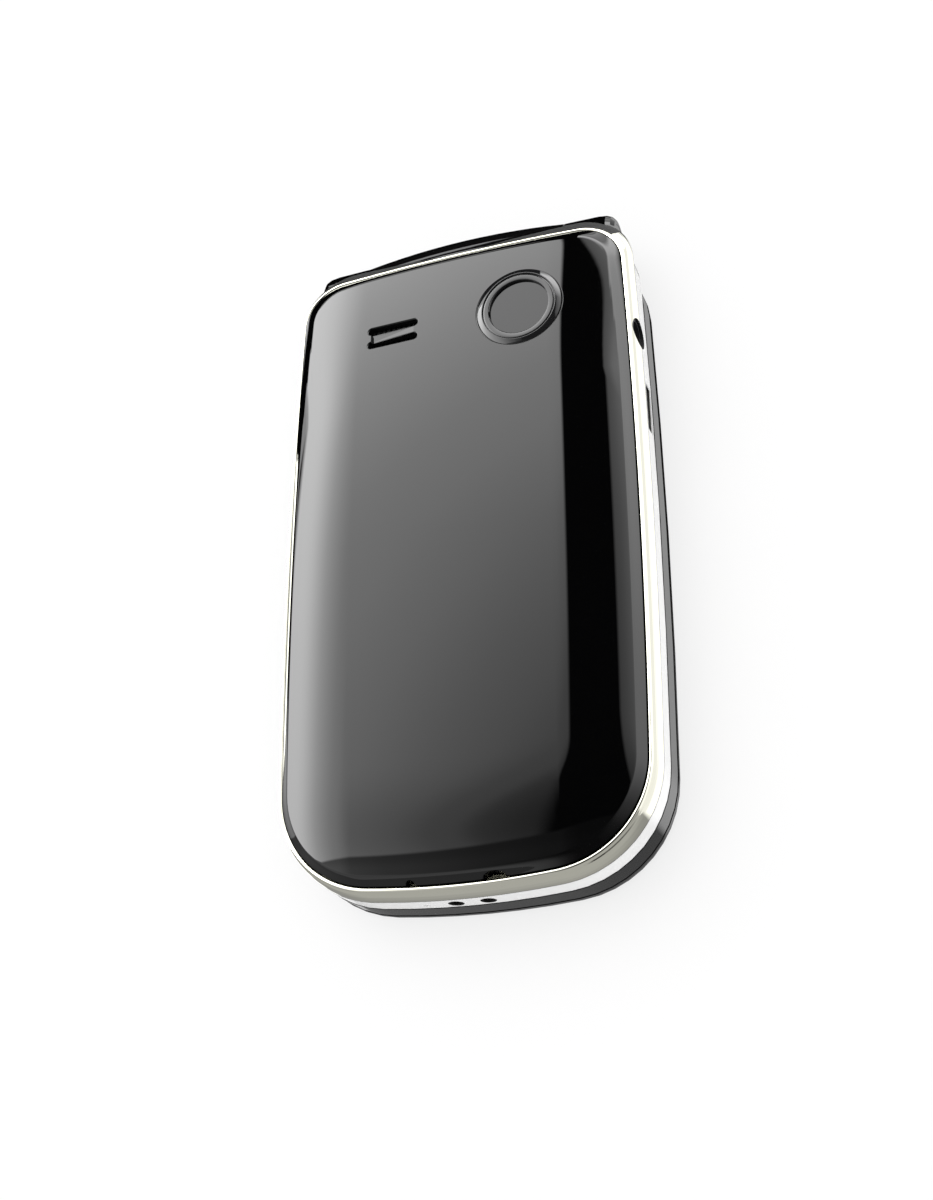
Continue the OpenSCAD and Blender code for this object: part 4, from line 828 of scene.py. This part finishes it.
def upper_light(g, x, y, z):
    """Upper half: a large soft box behind on the left, one on the right, and a dimmer strip in front."""
    zu = g.math("MAXIMUM", z, 0.02)
    gx, gy = g.math("DIVIDE", x, zu), g.math("DIVIDE", y, zu)
    glow = g.ramp(z, [(0.0, 0.0), (0.30, 0.0), (0.335, 0.77), (0.42, 0.85), (0.469, 0.87), (0.515, 0.84),
                      (0.545, 0.79), (0.588, 0.7), (0.643, 0.57), (0.707, 0.46), (0.766, 0.37), (0.809, 0.33), (0.848, 0.27),
                      (0.883, 0.20), (0.906, 0.16), (0.927, 0.11), (0.94, 0.10), (0.951, 0.06), (0.966, 0.04),
                      (0.985, 0.02), (1.0, 0.01)])
    edge_x = g.step(gy, 0.2, 0.33, -0.20, -0.10)
    left = g.step(g.math("SUBTRACT", gx, edge_x), 0.0, -0.04)
    back = g.step(g.math("MULTIPLY_ADD", gx, 0.5, gy), 0.985, 0.955)
    front = g.step(g.math("MULTIPLY_ADD", gx, -0.06, gy), -0.11, -0.08)
    left_box = g.math("MULTIPLY", g.math("MULTIPLY", glow, 10.0), g.math("MULTIPLY", left, back))
    left_box = g.math("MULTIPLY", left_box, front)
    bend = g.math("MULTIPLY", g.math("MAXIMUM", g.math("SUBTRACT", gy, 0.8), 0.0), -1.6)
    bend = g.math("MULTIPLY_ADD", g.math("MAXIMUM", g.math("SUBTRACT", 0.36, gy), 0.0), 0.5, bend)
    depth = g.math("SUBTRACT", gx, g.math("ADD", bend, 0.365))
    right_box = g.ramp(depth, [(0.0, 0.0), (0.03, 0.2), (0.09, 0.27), (0.17, 0.40), (0.28, 0.48), (0.4, 0.6),
                               (0.55, 0.73), (0.73, 0.87), (0.97, 1.0)])
    turn = g.step(g.math("ARCTAN2", y, x), math.radians(-50), math.radians(70), kind="LINEAR")
    right_box = g.math("MULTIPLY", g.math("MULTIPLY", right_box, 7.0), g.ramp(turn, [
        (0.0, 0.009), (0.083, 0.016), (0.167, 0.047), (0.25, 0.079), (0.333, 0.143), (0.417, 0.243), (0.5, 0.343),
        (0.583, 0.371), (0.667, 0.486), (0.75, 0.6), (0.833, 0.686), (0.917, 0.929), (1.0, 1.0)]))
    rear = g.math("MULTIPLY", g.step(turn, 0.85, 0.98), g.step(z, 0.45, 0.3, 0.0, -0.7))
    right_box = g.math("MULTIPLY", right_box, g.math("ADD", rear, 1.0))
    boxes = g.math("MULTIPLY_ADD", right_box, g.math("GREATER_THAN", x, 0.0), left_box)
    sliver = g.math("MULTIPLY", g.step(gy, 1.75, 1.85), g.step(gy, 2.9, 2.7, 0.0, 3.0))
    boxes = g.math("MULTIPLY_ADD", sliver, g.step(gx, -0.5, -0.6), boxes)
    low = g.step(z, 0.0, 0.35, 0.3, 0.0)
    strip = g.math("MULTIPLY", g.ramp(g.math("SUBTRACT", low, x), [
        (0.0, 0.03), (0.1, 0.05), (0.2, 0.09), (0.3, 0.17), (0.38, 0.28), (0.45, 0.38), (0.6, 0.81), (0.8, 1.0)]), 1.6)
    strip = g.math("MINIMUM", strip, g.step(z, 0.3, 0.7, 0.85, 1.6))
    strip = g.math("MULTIPLY", strip, g.step(gy, -0.14, -0.25, 0.75, 1.0))
    return g.math("MULTIPLY_ADD", strip, g.math("SUBTRACT", 1.0, front), boxes)


def lower_light(g, x, y, z):
    """Lower half: what a pale floor shows in the sides."""
    zd = g.math("MAXIMUM", g.math("MULTIPLY", z, -1.0), 0.02)
    dx, dy = g.math("DIVIDE", x, zd), g.math("DIVIDE", y, zd)
    r_side = g.math("MULTIPLY", g.step(dx, 0.05, 0.15), g.step(dx, 0.2, 0.4, 0.7, 1.35))
    r_side = g.math("MULTIPLY", r_side, g.step(dx, 0.7, 1.2, 1.0, 0.7))
    r_side = g.math("MULTIPLY", r_side, g.step(g.math("MULTIPLY_ADD", dx, 0.523, dy), 0.07, 0.19))
    l_side = g.math("MULTIPLY", g.math("MULTIPLY", g.step(dx, -0.46, -0.56), g.step(dy, 0.0, 0.1)),
                    g.step(g.math("MULTIPLY_ADD", dx, 0.3, dy), 0.3, 0.15, 0.0, 1.2))
    base = g.math("MULTIPLY_ADD", g.step(dy, -0.2, -0.9), 0.12, g.step(dy, 0.5, 0.25, 0.0, 0.28))
    return g.math("MAXIMUM", g.math("MAXIMUM", r_side, l_side), base)


def build_world():
    """Camera rays see white, glossy rays the soft boxes, and all others an even dome."""
    world = bpy.data.worlds.new("studio")
    SCENE.world = world
    world.use_nodes = True
    tree = world.node_tree
    tree.nodes.clear()
    g = Graph(tree)
    sep = g.node("ShaderNodeSeparateXYZ")
    g.put(sep.inputs[0], g.node("ShaderNodeTexCoord").outputs["Generated"])
    x, y, z = sep.outputs
    is_up = g.math("GREATER_THAN", z, 0.0)
    above = g.math("MULTIPLY", upper_light(g, x, y, z), is_up)
    below = g.math("MULTIPLY", lower_light(g, x, y, z), g.math("SUBTRACT", 1.0, is_up))
    gloss = g.math("ADD", above, below)
    dome = g.step(z, 0.0, 1.0, 1.12, 0.9, "LINEAR")
    path = g.node("ShaderNodeLightPath")
    a = g.node("ShaderNodeMix", data_type="FLOAT")
    g.put(a.inputs[0], path.outputs["Is Glossy Ray"])
    g.put(a.inputs[2], dome)
    g.put(a.inputs[3], gloss)
    b = g.node("ShaderNodeMix", data_type="FLOAT")
    g.put(b.inputs[0], path.outputs["Is Camera Ray"])
    g.put(b.inputs[2], a.outputs[0])
    b.inputs[3].default_value = 1.0
    bg = g.node("ShaderNodeBackground")
    bg.inputs["Color"].default_value = (1, 1, 1, 1)
    g.put(bg.inputs["Strength"], b.outputs[0])
    out = g.node("ShaderNodeOutputWorld")
    g.put(out.inputs["Surface"], bg.outputs[0])


build_world()
LAMP_AT = (-0.35, 0.3, 0.75)
lamp = bpy.data.lights.new("soft_key", "AREA")
lamp.shape = "SQUARE"
lamp.size = 0.7
lamp.energy = 2.2
lamp_obj = bpy.data.objects.new("soft_key", lamp)
SCENE.collection.objects.link(lamp_obj)
lamp_obj.location = LAMP_AT
lamp_obj.rotation_euler = Vector(LAMP_AT).to_track_quat("Z", "Y").to_euler()
lamp_obj.visible_glossy = False

SENSOR, FOCAL_PX, LONG_SIDE_PX = 36, 1611.686, 1200
cam = bpy.data.cameras.new("view")
cam.sensor_fit = "AUTO"
cam.sensor_width = SENSOR
cam.lens = SENSOR * FOCAL_PX / LONG_SIDE_PX
cam.clip_start = 0.01
cam_obj = bpy.data.objects.new("view", cam)
SCENE.collection.objects.link(cam_obj)
cam_obj.matrix_world = Matrix(((0.93628, 0.15083, 0.31721, 0.069693),
                               (-0.00247, 0.90592, -0.42344, -0.100558),
                               (-0.35124, 0.39568, 0.84857, 0.196563),
                               (0, 0, 0, 1)))
SCENE.camera = cam_obj
SCENE.view_settings.view_transform = "Standard"
